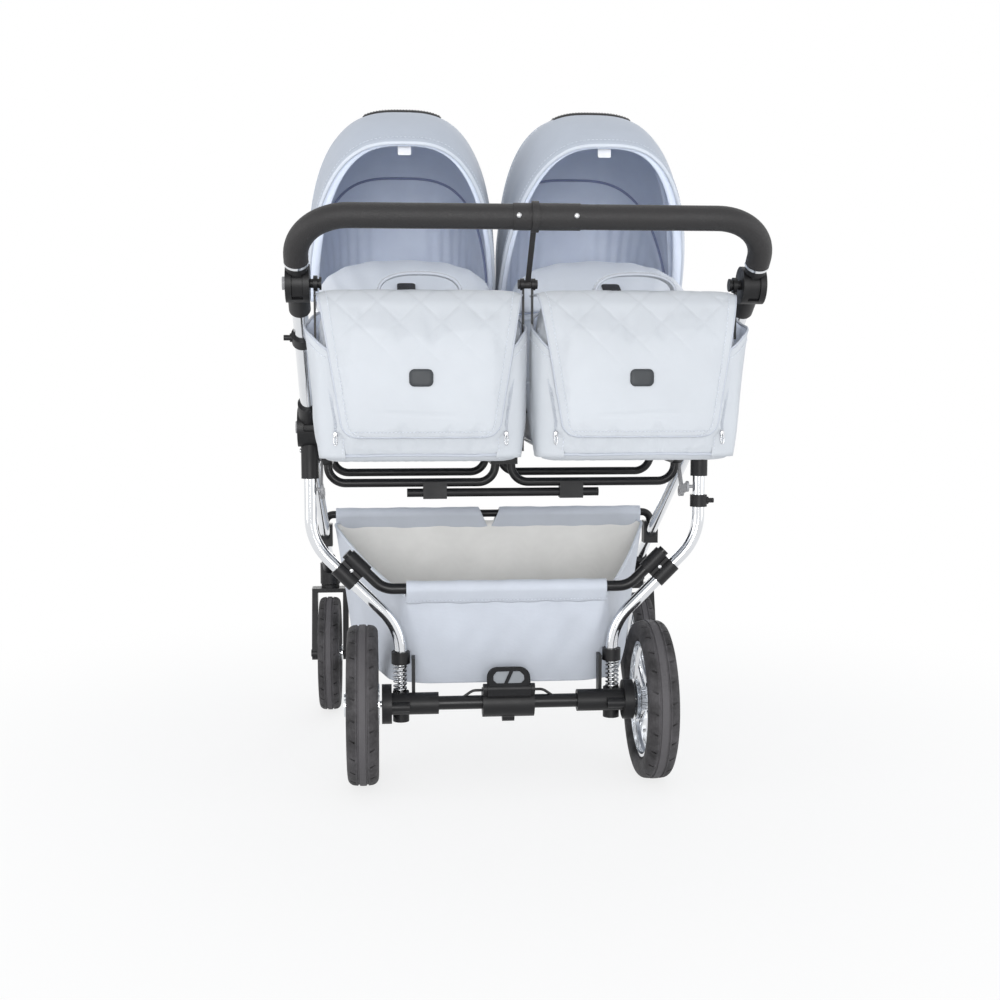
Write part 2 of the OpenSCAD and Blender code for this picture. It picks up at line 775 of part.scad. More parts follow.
// Spoked rim with its hub round the X axis; hub reaches a to b and the bore ends at c
module rim(d, w, h, hub, bore, a, b, c) {
    r = d / 2 - h - gap;
    rotate([0, 90, 0]) difference() {
        union() {
            rotate_extrude($fn = 128) polygon([
                [r, -w * 0.3], [r, w * 0.3], [r - 3, w * 0.36], [r - 8, w * 0.36],
                [r - 8, w * 0.2], [r - 11, w * 0.1], [r - 11, -w * 0.1],
                [r - 8, -w * 0.2], [r - 8, -w * 0.36], [r - 3, -w * 0.36]
            ]);
            translate([0, 0, a]) cylinder(h = b - a, d = hub, $fn = 64);
            for (i = [0 : spoke_pairs - 1], s = [-1, 1]) {
                t = i * 360 / spoke_pairs + s * 26;
                e = i * 360 / spoke_pairs + s * 9;
                foot = [hub * 0.3 * cos(t), hub * 0.3 * sin(t), s * 3];
                rod(foot, [(r - 6) * cos(e), (r - 6) * sin(e), 0], spoke_d);
            }
            children();
        }
        translate([0, 0, a - 1]) cylinder(h = c - a + 1, d = bore, $fn = 64);
    }
}

// Rear rim of the right side, with the brake ring on its inner face
module rear_rim() {
    translate([rx, ya, rz]) difference() {
        rim(rear_wheel_d, rear_tyre_w, rear_tyre_h, 44, 2 * bush_r + 2 * run,
            -hub_x, hub_x + 4, hub_x - 2)
            translate([0, 0, -hub_x]) cylinder(h = 8, d = 74, $fn = 64);
        for (i = [0 : 11]) rotate([i * 30, 0, 0])
            barrel([-hub_x + 4, brake_pin_r, 0], 10, brake_pin_d + 1.6);
    }
}

module left_rear_tyre() {
    color("dimgray") translate([-rx, ya, rz]) tyre(rear_wheel_d, rear_tyre_w, rear_tyre_h);
}

module right_rear_tyre() {
    color("dimgray") translate([rx, ya, rz]) tyre(rear_wheel_d, rear_tyre_w, rear_tyre_h);
}

module left_rear_rim() {
    color("silver") mirror([1, 0, 0]) rear_rim();
}

module right_rear_rim() {
    color("silver") rear_rim();
}

module left_front_tyre() {
    color("dimgray") translate([-fx, front_y, fz]) tyre(front_wheel_d, front_tyre_w, front_tyre_h);
}

module right_front_tyre() {
    color("dimgray") translate([fx, front_y, fz]) tyre(front_wheel_d, front_tyre_w, front_tyre_h);
}

module front_rim() {
    w = front_tyre_w / 2 + 4;
    rim(front_wheel_d, front_tyre_w, front_tyre_h, 36, 2 * bolt_r + 2 * run, -w, w, w + 2);
}

module left_front_rim() {
    color("silver") translate([-fx, front_y, fz]) front_rim();
}

module right_front_rim() {
    color("silver") translate([fx, front_y, fz]) front_rim();
}

// Swivelling fork of the right side
module fork() {
    w = front_tyre_w / 2 + 5;
    side = [
        [swivel_y - 22, crown_z], [swivel_y + 15, crown_z], [swivel_y + 15, crown_z - 16],
        [front_y + 17, fz + 6], [front_y + 12, fz - 10], [front_y - 13, fz - 8], [front_y - 15, fz + 8]
    ];
    translate([fx, swivel_y, crown_z]) cylinder(h = 16, d = 40, $fn = 64);
    translate([fx, swivel_y, crown_z]) cylinder(h = head_h + 6, d = 16, $fn = 64);
    translate([fx - w - 12, swivel_y - 22, crown_z]) cube([2 * w + 24, 37, 9]);
    for (x = [fx - w - 12, fx + w]) {
        translate([x, 0, 0]) rotate([90, 0, 90]) linear_extrude(12) polygon(side);
        barrel([x + 6, front_y, fz], 12, 30);
    }
    barrel([fx, front_y, fz], 2 * w + 2, 2 * bolt_r);
    barrel([fx + w + 12, front_y, fz], 4, 16);
    barrel([fx - w - 12, front_y, fz], 4, 16);
}

module left_fork() {
    color("dimgray") mirror([1, 0, 0]) fork();
}

module right_fork() {
    color("dimgray") fork();
}

// Handle tubes from the fold hinges up to the knuckles
module handle_tubes() {
    u = unit([kx, ky, kz] - hinge_at);
    color("silver") both() rod(hinge_at + u * (hinge_d / 2 + 8), [kx, ky, kz] - u * 34, tube_d);
}

// Lugs that turn in the fold hinges
module tube_lugs() {
    u = unit([kx, ky, kz] - hinge_at);
    color("dimgray") both() difference() {
        union() {
            barrel(hinge_at, slot, hinge_d - 10);
            aim(hinge_at, tube_a)
                translate([1 - slot / 2, 0, -12]) cube([slot - 2, hinge_d / 2 + 6, 24]);
            rod(hinge_at + u * (hinge_d / 2 + 2), hinge_at + u * (hinge_d / 2 + 46), tube_d + 9);
        }
        barrel(hinge_at, slot + 2, hinge_pin_d + 2 * run);
        rod(hinge_at + u * (hinge_d / 2 + 8), hinge_at + u * 120, tube_d + 2 * run);
    }
}

// Lower knuckle halves: forked cheeks, pin, button bore and the stud for a bag hook
module tube_knuckles() {
    k = [kx, ky, kz];
    u = unit(k - hinge_at);
    color("dimgray") both() difference() {
        union() {
            barrel(k, knuckle_w, knuckle_d);
            rod(k - u * 24, k - u * 66, tube_d + 9);
            barrel(k - [knuckle_w / 2 + 8, 0, 0], 18, 14);
            barrel(k - [knuckle_w / 2 + 16, 0, 0], 3, 20);
        }
        difference() {
            union() {
                barrel(k, slot + 2 * gap, knuckle_d - 5);
                aim(k, tube_a)
                    translate([-(slot + lap) / 2 - gap, -2, -40]) cube([slot + lap + 2 * gap, 60, 80]);
            }
            barrel(k, slot + 4, 14);
        }
        rod(k - u * 34, k - u * 80, tube_d + 2 * run);
        barrel(k + [knuckle_w / 2, 0, 0], 13, 20 + 2 * run);
    }
}

// Corners of the handle, from one arm to the other
function handle_path(s) =
    let (u = unit([0, bar_y - ky, handle_z - kz]), k = [kx, ky, kz] + u * s, c = [kx, bar_y, handle_z])
    [[-k.x, k.y, k.z], [-c.x, c.y, c.z], c, k];

// Handle tube with a bright ring at each end of the grip
module handle_bar() {
    u = unit([0, bar_y - ky, handle_z - kz]);
    k = [kx, ky, kz];
    color("silver") {
        pipe(handle_path(36), handle_bend_r, tube_d);
        both() rod(k + u * 43, k + u * 47.5, grip_d + 1);
    }
}

// Upper knuckle halves on the handle's arms
module arm_knuckles() {
    u = unit([0, bar_y - ky, handle_z - kz]);
    k = [kx, ky, kz];
    color("dimgray") both() difference() {
        union() {
            barrel(k, slot, knuckle_d - 6);
            aim(k, arm_a) translate([1 - slot / 2, 0, -12]) cube([slot - 2, knuckle_d / 2 + 6, 24]);
            rod(k + u * (knuckle_d / 2 + 2), k + u * 42.7, tube_d + 8);
        }
        barrel(k, slot + 2, 14 + 2 * run);
        rod(k + u * 36, k + u * 60, tube_d + 2 * run);
    }
}

// Covered grip with a plain middle cuff and two studs
module handle_grip() {
    color("dimgray") difference() {
        union() {
            pipe(handle_path(48), handle_bend_r, grip_d);
            barrel([sleeve_x, bar_y, handle_z], 98, grip_d + 2.4);
            for (x = [-42, 42]) translate([sleeve_x + x, bar_y - grip_d / 2, handle_z]) sphere(d = 6, $fn = 32);
        }
        pipe(handle_path(36), handle_bend_r, tube_d + 2 * gap);
    }
}

// Strap round the grip with a cross pin for the bags' inner hooks
module bag_hanger() {
    c = [0, bar_y, handle_z];
    d = grip_d + 2.4;
    color("dimgray") difference() {
        union() {
            barrel(c, hanger_w, d + 6);
            aim([0, ky, kz], arm_a)
                translate([1 - hanger_w / 2, 0, -1.6]) cube([hanger_w - 2, arm_len, 3.2]);
            barrel([0, ky, kz], hanger_w, 13);
            barrel([0, ky, kz], 2 * (hook_in + hook_w / 2 + 3), 8);
            for (s = [-1, 1]) barrel([s * (hook_in + hook_w / 2 + 2), ky, kz], 3, 14);
        }
        barrel(c, hanger_w + 2, d + 2 * run);
    }
}

module knuckle_button() {
    barrel([kx + knuckle_w / 2 + 1, ky, kz], 9, 20);
}

module left_knuckle_button() {
    color("gray") mirror([1, 0, 0]) knuckle_button();
}

module right_knuckle_button() {
    color("gray") knuckle_button();
}

module fold_button() {
    barrel([hx + hinge_w / 2 + 0.5, leg_y, hinge_z], 7, 22);
}

module left_fold_button() {
    color("gray") mirror([1, 0, 0]) fold_button();
}

module right_fold_button() {
    color("gray") fold_button();
}

// Half width of a bag at height share h
function bag_half(h) = bag_w / 2 - 9 * pow(abs(2 * h - 0.9), 3);

// Outline of a bag at height share h, drawn in by t
function bag_ring(h, t) =
    let (w = bag_half(h) - t, d = bag_depth / 2 - 16 * pow(abs(2 * h - 0.85), 2.6) - t)
    let (y = bag_front + bag_depth / 2, z = bag_top - bag_h * (1 - h))
    [for (a = [0 : 10 : 350]) [bag_x + w * spow(cos(a), 0.4), y + d * spow(sin(a), 0.5), z]];

// Flat strap through the points p, of width w along Y and thickness t
module strap(p, w, t) {
    loft([for (i = [0 : len(p) - 1])
        let (u = unit(p[min(i + 1, len(p) - 1)] - p[max(i - 1, 0)]), n = [-u.z, 0, u.x])
        [p[i] - n * t / 2 - [0, w / 2, 0], p[i] - n * t / 2 + [0, w / 2, 0],
         p[i] + n * t / 2 + [0, w / 2, 0], p[i] + n * t / 2 - [0, w / 2, 0]]]);
}

// Changing bag of the right side: closed body and carry loop
module bag() {
    levels = [0, 0.03, 0.1, 0.25, 0.45, 0.65, 0.82, 0.93, 0.98, 1];
    arc = [for (a = [0 : 12 : 180])
        [bag_x - 62 * spow(cos(a), 0.8), ky, bag_top + gap + bag_loop_h * spow(sin(a), 0.8)]];
    loft([for (h = levels) bag_ring(h, h == 0 || h == 1 ? 7 : h == 0.03 || h == 0.98 ? 2 : 0)]);
    strap(arc, 24, 4);
}

// Hooks of the right side that carry a bag on the knuckle stud and the hanger pin
module bag_hooks() {
    reach = bag_half(1 - hook_share) + gap;
    low = bag_top - hook_share * bag_h;
    inner = [hook_in, 8, min(hook_in - hook_w / 2, bag_x - reach - 2), bag_x - reach];
    outer = [hook_out, 14, bag_x + reach, max(hook_out + hook_w / 2, bag_x + reach + 2)];
    for (h = [inner, outer]) difference() {
        union() {
            barrel([h[0], ky, kz], hook_w, h[1] + 10);
            translate([h[2], ky - 5, low]) cube([h[3] - h[2], 10, kz - low - h[1] / 2]);
        }
        barrel([h[0], ky, kz], 20, h[1] + 2 * gap);
    }
}

module left_bag() {
    color("lightsteelblue") mirror([1, 0, 0]) bag();
}

module right_bag() {
    color("lightsteelblue") bag();
}

module left_bag_hooks() {
    color("dimgray") mirror([1, 0, 0]) bag_hooks();
}

module right_bag_hooks() {
    color("dimgray") bag_hooks();
}

// Half width of a carrycot at height z
function cot_half(z) = mix(cot_base_w, cot_rim_w, (z - cot_base_z) / (cot_rim_z - cot_base_z));

// Plan outline of a carrycot at height z, drawn in by t
function cot_ring(z, t) =
    let (w = cot_half(z) - t, lean = 34 * (cot_rim_z - z) / (cot_rim_z - cot_base_z))
    let (y0 = cot_y0 + lean + t, y1 = cot_y1 - lean - t)
    [for (a = [0 : 9 : 351])
        [cot_x + w * spow(cos(a), 0.56), mix(y0, y1, (1 + spow(sin(a), 0.62)) / 2), z]];

// Carrycot of the right side: padded tub and mattress
module cot() {
    b = cot_base_z;
    r = cot_rim_z;
    t = cot_wall;
    out = [
        cot_ring(b, 14), cot_ring(b + 5, 4), cot_ring(b + 16, 0), cot_ring(mix(b, r, 0.3), 0),
        cot_ring(mix(b, r, 0.65), 0), cot_ring(r - 8, 0), cot_ring(r - 2, 1), cot_ring(r, 4)
    ];
    in = [
        cot_ring(r, t - 4), cot_ring(r - 2, t - 1), cot_ring(r - 8, t), cot_ring(mix(b, r, 0.65), t),
        cot_ring(mix(b, r, 0.3), t), cot_ring(b + 22, t), cot_ring(b + 12, t + 8)
    ];
    loft(concat(out, in));
    f = b + 12 + gap;
    loft([
        cot_ring(f, t + 24), cot_ring(f + 6, t + 14), cot_ring(f + 20, t + 10), cot_ring(f + 32, t + 15),
        cot_ring(f + 37, t + 32), cot_ring(f + 41, t + 70)
    ]);
}

// Tongues that drop into the rail sockets, screwed to the tub's sides
module cot_mounts() {
    for (s = [0, 1]) translate([s * 2 * cot_x, 0, 0]) mirror([s, 0, 0]) {
        translate([cot_x + tongue_in, sock_y - 20, rail_z + 38 + gap])
            cube([tongue_out - tongue_in, 40, 80]);
        translate([cot_x + tongue_in - 13, sock_y - 26, rail_z + 92]) cube([25, 52, 30]);
    }
}

module left_cot_mounts() {
    color("dimgray") mirror([1, 0, 0]) cot_mounts();
}

module right_cot_mounts() {
    color("dimgray") cot_mounts();
}

module left_cot() {
    color("lightsteelblue") mirror([1, 0, 0]) cot();
}

module right_cot() {
    color("lightsteelblue") cot();
}

// Half width of the carrycot's rim outline at distance y from the foot end
function rim_at(y) =
    let (s = min(1, max(-1, 2 * y / cot_len - 1)), a = asin(spow(s, 1 / 0.62)))
    cot_rim_w * pow(cos(a), 0.56);

// Section of the apron at share v of its length; k is 1 on top and 0 below
function apron_row(v, k) =
    let (y = 9 + (apron_len - 9) * v, w = rim_at(y) + 3)
    let (h = 18 + (apron_h - 18) * smooth(min(1, v * 1.08)))
    [for (a = [0 : 9 : 180])
        let (c = cos(a), s = pow(sin(a), 0.62))
        [cot_x + (w - (1 - k) * apron_t * 0.7) * spow(c, 0.8), cot_y0 + y,
         cot_rim_z + gap + 3 * k + (h - (1 - k) * apron_t - 3 * k) * s]];

// Padded apron over the foot end
module apron() {
    rows = [for (v = [0, 0.04, 0.12, 0.25, 0.4, 0.55, 0.7, 0.85, 0.95, 1])
        let (top = apron_row(v, 1), low = apron_row(v, 0))
        concat(low, [for (i = [len(top) - 1 : -1 : 0]) top[i]])];
    loft(rows, true);
}

module left_apron() {
    color("lightsteelblue") mirror([1, 0, 0]) apron();
}

module right_apron() {
    color("lightsteelblue") apron();
}

// Share of the way from the upright bow to the head end, and from it to the front edge
function back_share(a) = max(0, -a / 90);
function front_share(a) = max(0, a / visor_lean);

// Turns at which the hood's arches are drawn
bow_turns = concat([1.3, 4], [for (b = [10 : 8 : 170]) b], [176, 178.7]);

// Half arch of the hood at lean a, drawn in by d, as [across, reach]
function bow_line(a, d) =
    let (k = back_share(a), w = mix(hood_half_w, cot_rim_w + hood_t + 1.5, k) - d)
    let (r = mix(hood_r, cot_y1 - hood_y + hood_t + 1.5, smooth(min(1, k))) - d)
    let (e = mix(0.68, 0.56, k), f = mix(0.68, 0.62, k))
    [for (b = bow_turns)
        [(w - 24 * front_share(a) * sin(b)) * spow(cos(b), e), r * pow(sin(b), f)]];

// Closed section of the hood between the draws d0 and d1 at lean a
function bow_ring(a, d0, d1) =
    let (top = bow_line(a, d0), low = bow_line(a, d1))
    [for (p = concat(low, [for (i = [len(top) - 1 : -1 : 0]) top[i]]))
        [cot_x + p.x, hood_y - p.y * sin(a), hood_z + p.y * cos(a)]];

// Padded hood from its front edge to the head end
module hood() {
    front = [for (s = [1, 0.75, 0.5, 0.25]) visor_lean * s];
    back = [for (a = [0 : -11.75 : -94]) a];
    loft([for (a = concat(front, back)) bow_ring(a, 0, hood_t)], true);
}

// Flat bow at lean a, drawn in by d, with straight feet
module bow(a, d) {
    out = bow_line(a, d);
    in = bow_line(a, d + 4);
    n = len(out) - 1;
    foot = [[out[n].x, 20], [in[n].x, 20]];
    translate([cot_x, hood_y, hood_z]) rotate([90 + a, 0, 0]) linear_extrude(10, center = true)
        polygon(concat(out, foot, [for (i = [n : -1 : 0]) in[i]], [[in[0].x, 20], [out[0].x, 20]]));
}

// Two bows on a pair of pivot discs
module hood_frame() {
    bow(visor_lean - 1.5, hood_t + 1.6);
    bow(0, hood_t + 0.9);
    for (s = [-1, 1]) barrel([cot_x + s * (cot_rim_w + 4.4), hood_y, hood_z], 10, 56);
}

module left_hood() {
    color("lightsteelblue") mirror([1, 0, 0]) hood();
}

module right_hood() {
    color("lightsteelblue") hood();
}

module left_hood_frame() {
    color("dimgray") mirror([1, 0, 0]) hood_frame();
}

module right_hood_frame() {
    color("dimgray") hood_frame();
}

front_legs();
rear_legs();
hinge_housings();
fork_heads();
seat_rails();
cradle_hoops();
tie_bar();
leg_braces();
front_basket_tube();
rear_basket_tube();
basket_clamps();
basket();
spring_collars();
leg_accessory_clamp();
rear_axle_rod();
rear_axle_tube();
axle_brackets();
rear_springs();
brake_housing();
brake_cables();
brake_pedal();
pedal_pads();
left_brake_pin();
right_brake_pin();
left_rear_tyre();
right_rear_tyre();
left_rear_rim();
right_rear_rim();
left_fork();
right_fork();
left_front_tyre();
right_front_tyre();
left_front_rim();
right_front_rim();
handle_tubes();
tube_lugs();
tube_knuckles();
handle_accessory_clamp();
handle_bar();
arm_knuckles();
handle_grip();
bag_hanger();
left_knuckle_button();
right_knuckle_button();
left_fold_button();
right_fold_button();
left_bag();
right_bag();
left_bag_hooks();
right_bag_hooks();
left_cot();
right_cot();
left_cot_mounts();
right_cot_mounts();
left_apron();
right_apron();
left_hood();
right_hood();
left_hood_frame();
right_hood_frame();
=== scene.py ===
"""Looks of the twin pram: cloth, padding, trim and finishes around its fixed frame."""

import json
import math

import bmesh
import bpy
import numpy as np
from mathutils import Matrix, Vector
from mathutils.bvhtree import BVHTree


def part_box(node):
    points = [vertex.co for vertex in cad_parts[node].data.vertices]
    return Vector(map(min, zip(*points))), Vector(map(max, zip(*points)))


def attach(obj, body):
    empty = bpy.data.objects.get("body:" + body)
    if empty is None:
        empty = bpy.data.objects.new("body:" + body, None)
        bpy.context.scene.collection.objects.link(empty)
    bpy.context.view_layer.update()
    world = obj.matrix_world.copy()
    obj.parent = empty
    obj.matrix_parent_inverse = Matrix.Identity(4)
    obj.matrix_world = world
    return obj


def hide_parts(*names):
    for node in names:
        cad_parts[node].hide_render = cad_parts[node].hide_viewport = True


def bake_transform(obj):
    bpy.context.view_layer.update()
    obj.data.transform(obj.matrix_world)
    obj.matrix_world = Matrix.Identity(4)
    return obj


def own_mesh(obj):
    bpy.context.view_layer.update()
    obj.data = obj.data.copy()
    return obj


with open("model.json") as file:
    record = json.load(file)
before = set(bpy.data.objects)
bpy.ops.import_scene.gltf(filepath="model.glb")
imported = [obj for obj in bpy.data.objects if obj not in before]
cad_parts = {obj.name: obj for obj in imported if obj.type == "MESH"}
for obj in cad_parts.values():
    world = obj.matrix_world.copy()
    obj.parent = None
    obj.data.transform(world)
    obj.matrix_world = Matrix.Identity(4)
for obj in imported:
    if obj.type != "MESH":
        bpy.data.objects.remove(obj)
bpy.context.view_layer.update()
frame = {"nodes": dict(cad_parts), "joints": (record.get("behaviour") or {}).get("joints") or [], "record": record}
NODES = frame["nodes"]
JOINTS = {j["name"]: j for j in frame["joints"]}
SIDES = {"left": -1, "right": 1}

# Sizes read from the frame, in metres
COT_LOW, COT_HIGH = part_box("right_cot")
COT_X = (COT_LOW.x + COT_HIGH.x) / 2
COT_RIM_W = (COT_HIGH.x - COT_LOW.x) / 2
COT_Y0, COT_Y1 = COT_LOW.y, COT_HIGH.y
COT_BASE_Z, COT_RIM_Z = COT_LOW.z, COT_HIGH.z
HOOD_Y, HOOD_Z = JOINTS["right_hood_fold"]["pos_m"][1:]
HOOD_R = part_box("right_hood")[1].z - HOOD_Z
KNUCKLE_Y, KNUCKLE_Z = JOINTS["handle_tilt"]["pos_m"][1:]
BAG_LOW, BAG_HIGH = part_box("right_bag")
BAG_X = (BAG_LOW.x + BAG_HIGH.x) / 2
REAR_TUBE_LOW, REAR_TUBE_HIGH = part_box("rear_basket_tube")
SPRING_LOW, SPRING_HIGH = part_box("rear_springs")


def srgb(*colour):
    """Screen colour, from 11 to 255 each, as the linear colour that a shader takes."""
    return tuple(((v / 255 + 0.055) / 1.055) ** 2.4 for v in colour)


def mix(a, b, t):
    return a + (b - a) * t


def smooth(t):
    t = np.clip(t, 0, 1)
    return t * t * (3 - 2 * t)


def bell(v, width):
    """Smooth bump of height 1 at v = 0."""
    return np.exp(-(v / width) ** 2)


def spow(v, p):
    """Power that keeps the sign, for rounded rectangles and arches."""
    return np.sign(v) * np.abs(v) ** p


def sind(degrees):
    return np.sin(np.radians(degrees))


def cosd(degrees):
    return np.cos(np.radians(degrees))


def around(count):
    """Angles evenly round a full turn."""
    return np.linspace(0, 2 * math.pi, count, endpoint=False)


# Materials

class Graph:
    """A node tree, with short calls for the nodes used here."""

    def __init__(self, tree):
        self.tree = tree

    def node(self, kind, inputs=(), **settings):
        n = self.tree.nodes.new("ShaderNode" + kind)
        for key, value in settings.items():
            setattr(n, key, value)
        for key, value in dict(inputs).items():
            if isinstance(value, bpy.types.NodeSocket):
                self.tree.links.new(value, n.inputs[key])
            else:
                n.inputs[key].default_value = value
        return n

    def math(self, operation, a, b=None):
        inputs = {0: a} if b is None else {0: a, 1: b}
        return self.node("Math", inputs, operation=operation).outputs[0]


class Shader(Graph):
    """A material with one main shader, and short calls for its textures."""

    def __init__(self, name, **values):
        self.material = bpy.data.materials.new(name)
        self.material.use_nodes = True
        super().__init__(self.material.node_tree)
        self.bsdf = self.tree.nodes["Principled BSDF"]
        self.coords = self.node("TexCoord").outputs["Object"]
        for key, value in values.items():
            self.bsdf.inputs[key.replace("_", " ")].default_value = value

    def finish(self, colour, roughness, normal):
        for key, socket in (("Base Color", colour), ("Roughness", roughness), ("Normal", normal)):
            self.tree.links.new(socket, self.bsdf.inputs[key])
        return self.material

    def along(self, axis):
        return self.node("SeparateXYZ", {"Vector": self.coords}).outputs[axis]

    def noise(self, scale, detail=3.0):
        inputs = {"Vector": self.coords, "Scale": scale, "Detail": detail, "Roughness": 0.55}
        return self.node("TexNoise", inputs).outputs["Fac"]

    def cells(self, scale):
        return self.node("TexVoronoi", {"Vector": self.coords, "Scale": scale}).outputs["Distance"]

    def weave(self, pitch):
        """Threads along and across, pitch metres apart."""
        turn = 2 * math.pi / pitch
        waves = {k: self.math("SINE", self.math("MULTIPLY", self.along(k), turn)) for k in "XYZ"}
        one, two, three = (self.math("ADD", waves[a], waves[b]) for a, b in ("XZ", "YZ", "XY"))
        return self.math("MAXIMUM", self.math("MAXIMUM", one, two), three)

    def tones(self, value, low, high, colour, dark, light):
        """A darker shade of a colour up to low, a lighter one from high, and a blend in between."""
        n = self.node("ValToRGB", {"Fac": value})
        for stop, place, share in zip(n.color_ramp.elements, (low, high), (dark, light)):
            stop.position = place
            stop.color = [min(1.0, c * share) for c in colour] + [1.0]
        return n.outputs["Color"]

    def spread(self, value, low, high):
        return self.node("MapRange", {"Value": value, "To Min": low, "To Max": high}).outputs["Result"]

    def bump(self, height, strength, distance, under=None):
        inputs = {"Height": height, "Strength": strength, "Distance": distance}
        if under is not None:
            inputs["Normal"] = under
        return self.node("Bump", inputs).outputs["Normal"]


def coated_cloth(name, colour, rough=0.5):
    """Smooth coated cloth with a fine leather-like grain and soft handling marks."""
    s = Shader(name, Sheen_Weight=0.08, Sheen_Roughness=0.4, Specular_IOR_Level=0.35)
    return s.finish(
        s.tones(s.noise(9, 4), 0.3, 0.75, colour, 0.955, 1.02),
        s.spread(s.noise(60), rough - 0.07, rough + 0.09),
        s.bump(s.noise(34), 0.16, 0.004, s.bump(s.cells(900), 0.10, 0.0006)))


def woven_cloth(name, colour, pitch=0.0011, rough=0.8, depth=0.25):
    """Plain woven cloth with visible threads."""
    s = Shader(name, Sheen_Weight=0.2, Sheen_Roughness=0.5, Specular_IOR_Level=0.2)
    threads = s.weave(pitch)
    tone = s.math("ADD", s.noise(14, 4), s.math("MULTIPLY", threads, 0.035))
    return s.finish(
        s.tones(tone, 0.25, 0.8, colour, 0.93, 1.03),
        s.spread(s.noise(90, 2), rough - 0.08, rough + 0.08),
        s.bump(s.noise(26), 0.2, 0.004, s.bump(threads, depth, 0.0003)))


def leatherette(name, colour):
    """Dark leatherette with fine pores."""
    s = Shader(name, Specular_IOR_Level=0.42)
    pores = s.cells(620)
    return s.finish(
        s.tones(pores, 0.0, 0.75, colour, 0.7, 1.35),
        s.spread(s.noise(130), 0.42, 0.62),
        s.bump(pores, 0.45, 0.0009))


def moulded(name, colour, rough=0.45, grain=0.16):
    """Moulded plastic with a fine spark-eroded grain and rubbed patches."""
    s = Shader(name, Specular_IOR_Level=0.32)
    return s.finish(
        s.tones(s.noise(16, 4), 0.3, 0.8, colour, 0.85, 1.25),
        s.spread(s.noise(45, 4), rough - 0.1, rough + 0.12),
        s.bump(s.noise(1500, 2), grain, 0.0004))


def chromed(name, colour, rough=0.06):
    """Polished plating with faint polishing marks and fingerprints."""
    s = Shader(name, Metallic=1.0)
    return s.finish(
        s.tones(s.noise(7, 4), 0.35, 0.7, colour, 0.94, 1.0),
        s.spread(s.noise(55, 5), rough, rough + 0.09),
        s.bump(s.noise(240, 2), 0.02, 0.0004))


def brushed(name, colour, rough):
    """Plain drawn metal."""
    s = Shader(name, Metallic=1.0)
    return s.finish(
        s.tones(s.noise(60, 5), 0.3, 0.75, colour, 0.8, 1.08),
        s.spread(s.noise(300), rough - 0.08, rough + 0.12),
        s.bump(s.noise(900, 2), 0.08, 0.0003))


def tyre_rubber(name, colour, middle, half):
    """Dull rubber with a dusty tone and a painted highlight band round it, at X = middle and with this half width.
    """
    s = Shader(name, Specular_IOR_Level=0.3)
    dust = s.math("ADD", s.noise(24, 5), s.math("MULTIPLY", s.noise(210), 0.3))
    off = s.math("ABSOLUTE", s.math("SUBTRACT", s.math("ABSOLUTE", s.along("X")), middle))
    off = s.math("ADD", s.math("DIVIDE", off, half), s.math("MULTIPLY", s.noise(120, 4), 0.35))
    fade = {"Value": off, "From Min": 0.75, "From Max": 1.35, "To Min": 0.42, "To Max": 0.0}
    # painted highlight: a lighter band round the tread's middle stands in for its shine
    highlight_band = s.node("MapRange", fade).outputs["Result"]
    return s.finish(
        s.tones(s.math("ADD", dust, highlight_band), 0.45, 1.35, colour, 0.8, 5.0),
        s.spread(s.noise(80), 0.58, 0.82),
        s.bump(s.noise(700), 0.2, 0.0005))


BODY_CLOTH = coated_cloth("body_cloth", srgb(214, 219, 227))
BAG_CLOTH = coated_cloth("bag_cloth", srgb(191, 195, 200))
HOOD_CLOTH = coated_cloth("hood_cloth", srgb(176, 183, 194), 0.58)
LINING = woven_cloth("lining_cloth", srgb(230, 238, 255))
BASKET_CLOTH = woven_cloth("basket_cloth", srgb(196, 201, 210), 0.0014, 0.72, 0.18)
BASKET_LINING = woven_cloth("basket_lining", srgb(226, 225, 222), 0.0018, 0.8, 0.2)
MATTRESS_CLOTH = woven_cloth("mattress_cloth", srgb(224, 226, 234), 0.0016, 0.85, 0.3)
PIPING = coated_cloth("piping_cloth", srgb(206, 212, 221), 0.42)
# Painted shade: a darker cloth on the lining's middle seam stands in for the shadow of its gathered gap
SEAM_SHADE = woven_cloth("seam_tape", srgb(150, 157, 188), 0.0008, 0.8, 0.3)
# Painted shade: the bag's piping is a darker copy of its cloth, so its edges read as shadow lines
SHADED_BAG_PIPING = coated_cloth("bag_piping_cloth", srgb(182, 187, 196), 0.46)
TAG_CLOTH = woven_cloth("tag_cloth", srgb(236, 237, 240), 0.0008, 0.7, 0.2)
THREAD = woven_cloth("thread", srgb(214, 219, 228), 0.0006, 0.7, 0.3)
DARK_THREAD = woven_cloth("dark_thread", srgb(92, 90, 92), 0.0006, 0.7, 0.3)
GRIP_LEATHER = leatherette("grip_leatherette", srgb(29, 28, 29))
PLAQUE = moulded("plaque_rubber", srgb(52, 55, 58), 0.5, 0.1)
BLACK_PLASTIC = moulded("black_plastic", srgb(19, 19, 21))
BLACK_TUBE = moulded("black_lacquer", srgb(17, 17, 19), 0.34, 0.05)
GREY_PLASTIC = moulded("grey_plastic", srgb(150, 150, 152), 0.4, 0.08)
PEDAL_RUBBER = moulded("pedal_rubber", srgb(140, 143, 147), 0.6, 0.3)
CABLE_SKIN = moulded("cable_skin", srgb(30, 30, 31), 0.4, 0.05)
CHROME = chromed("chrome", srgb(226, 228, 231))
STEEL = brushed("bright_steel", srgb(205, 206, 208), 0.25)
ALLOY = brushed("bow_alloy", srgb(176, 177, 180), 0.4)
REAR_TYRE = tyre_rubber("rear_tyre_rubber", srgb(36, 35, 36), 0.264, 0.011)
FRONT_TYRE = tyre_rubber("front_tyre_rubber", srgb(36, 35, 36), 0.344, 0.009)

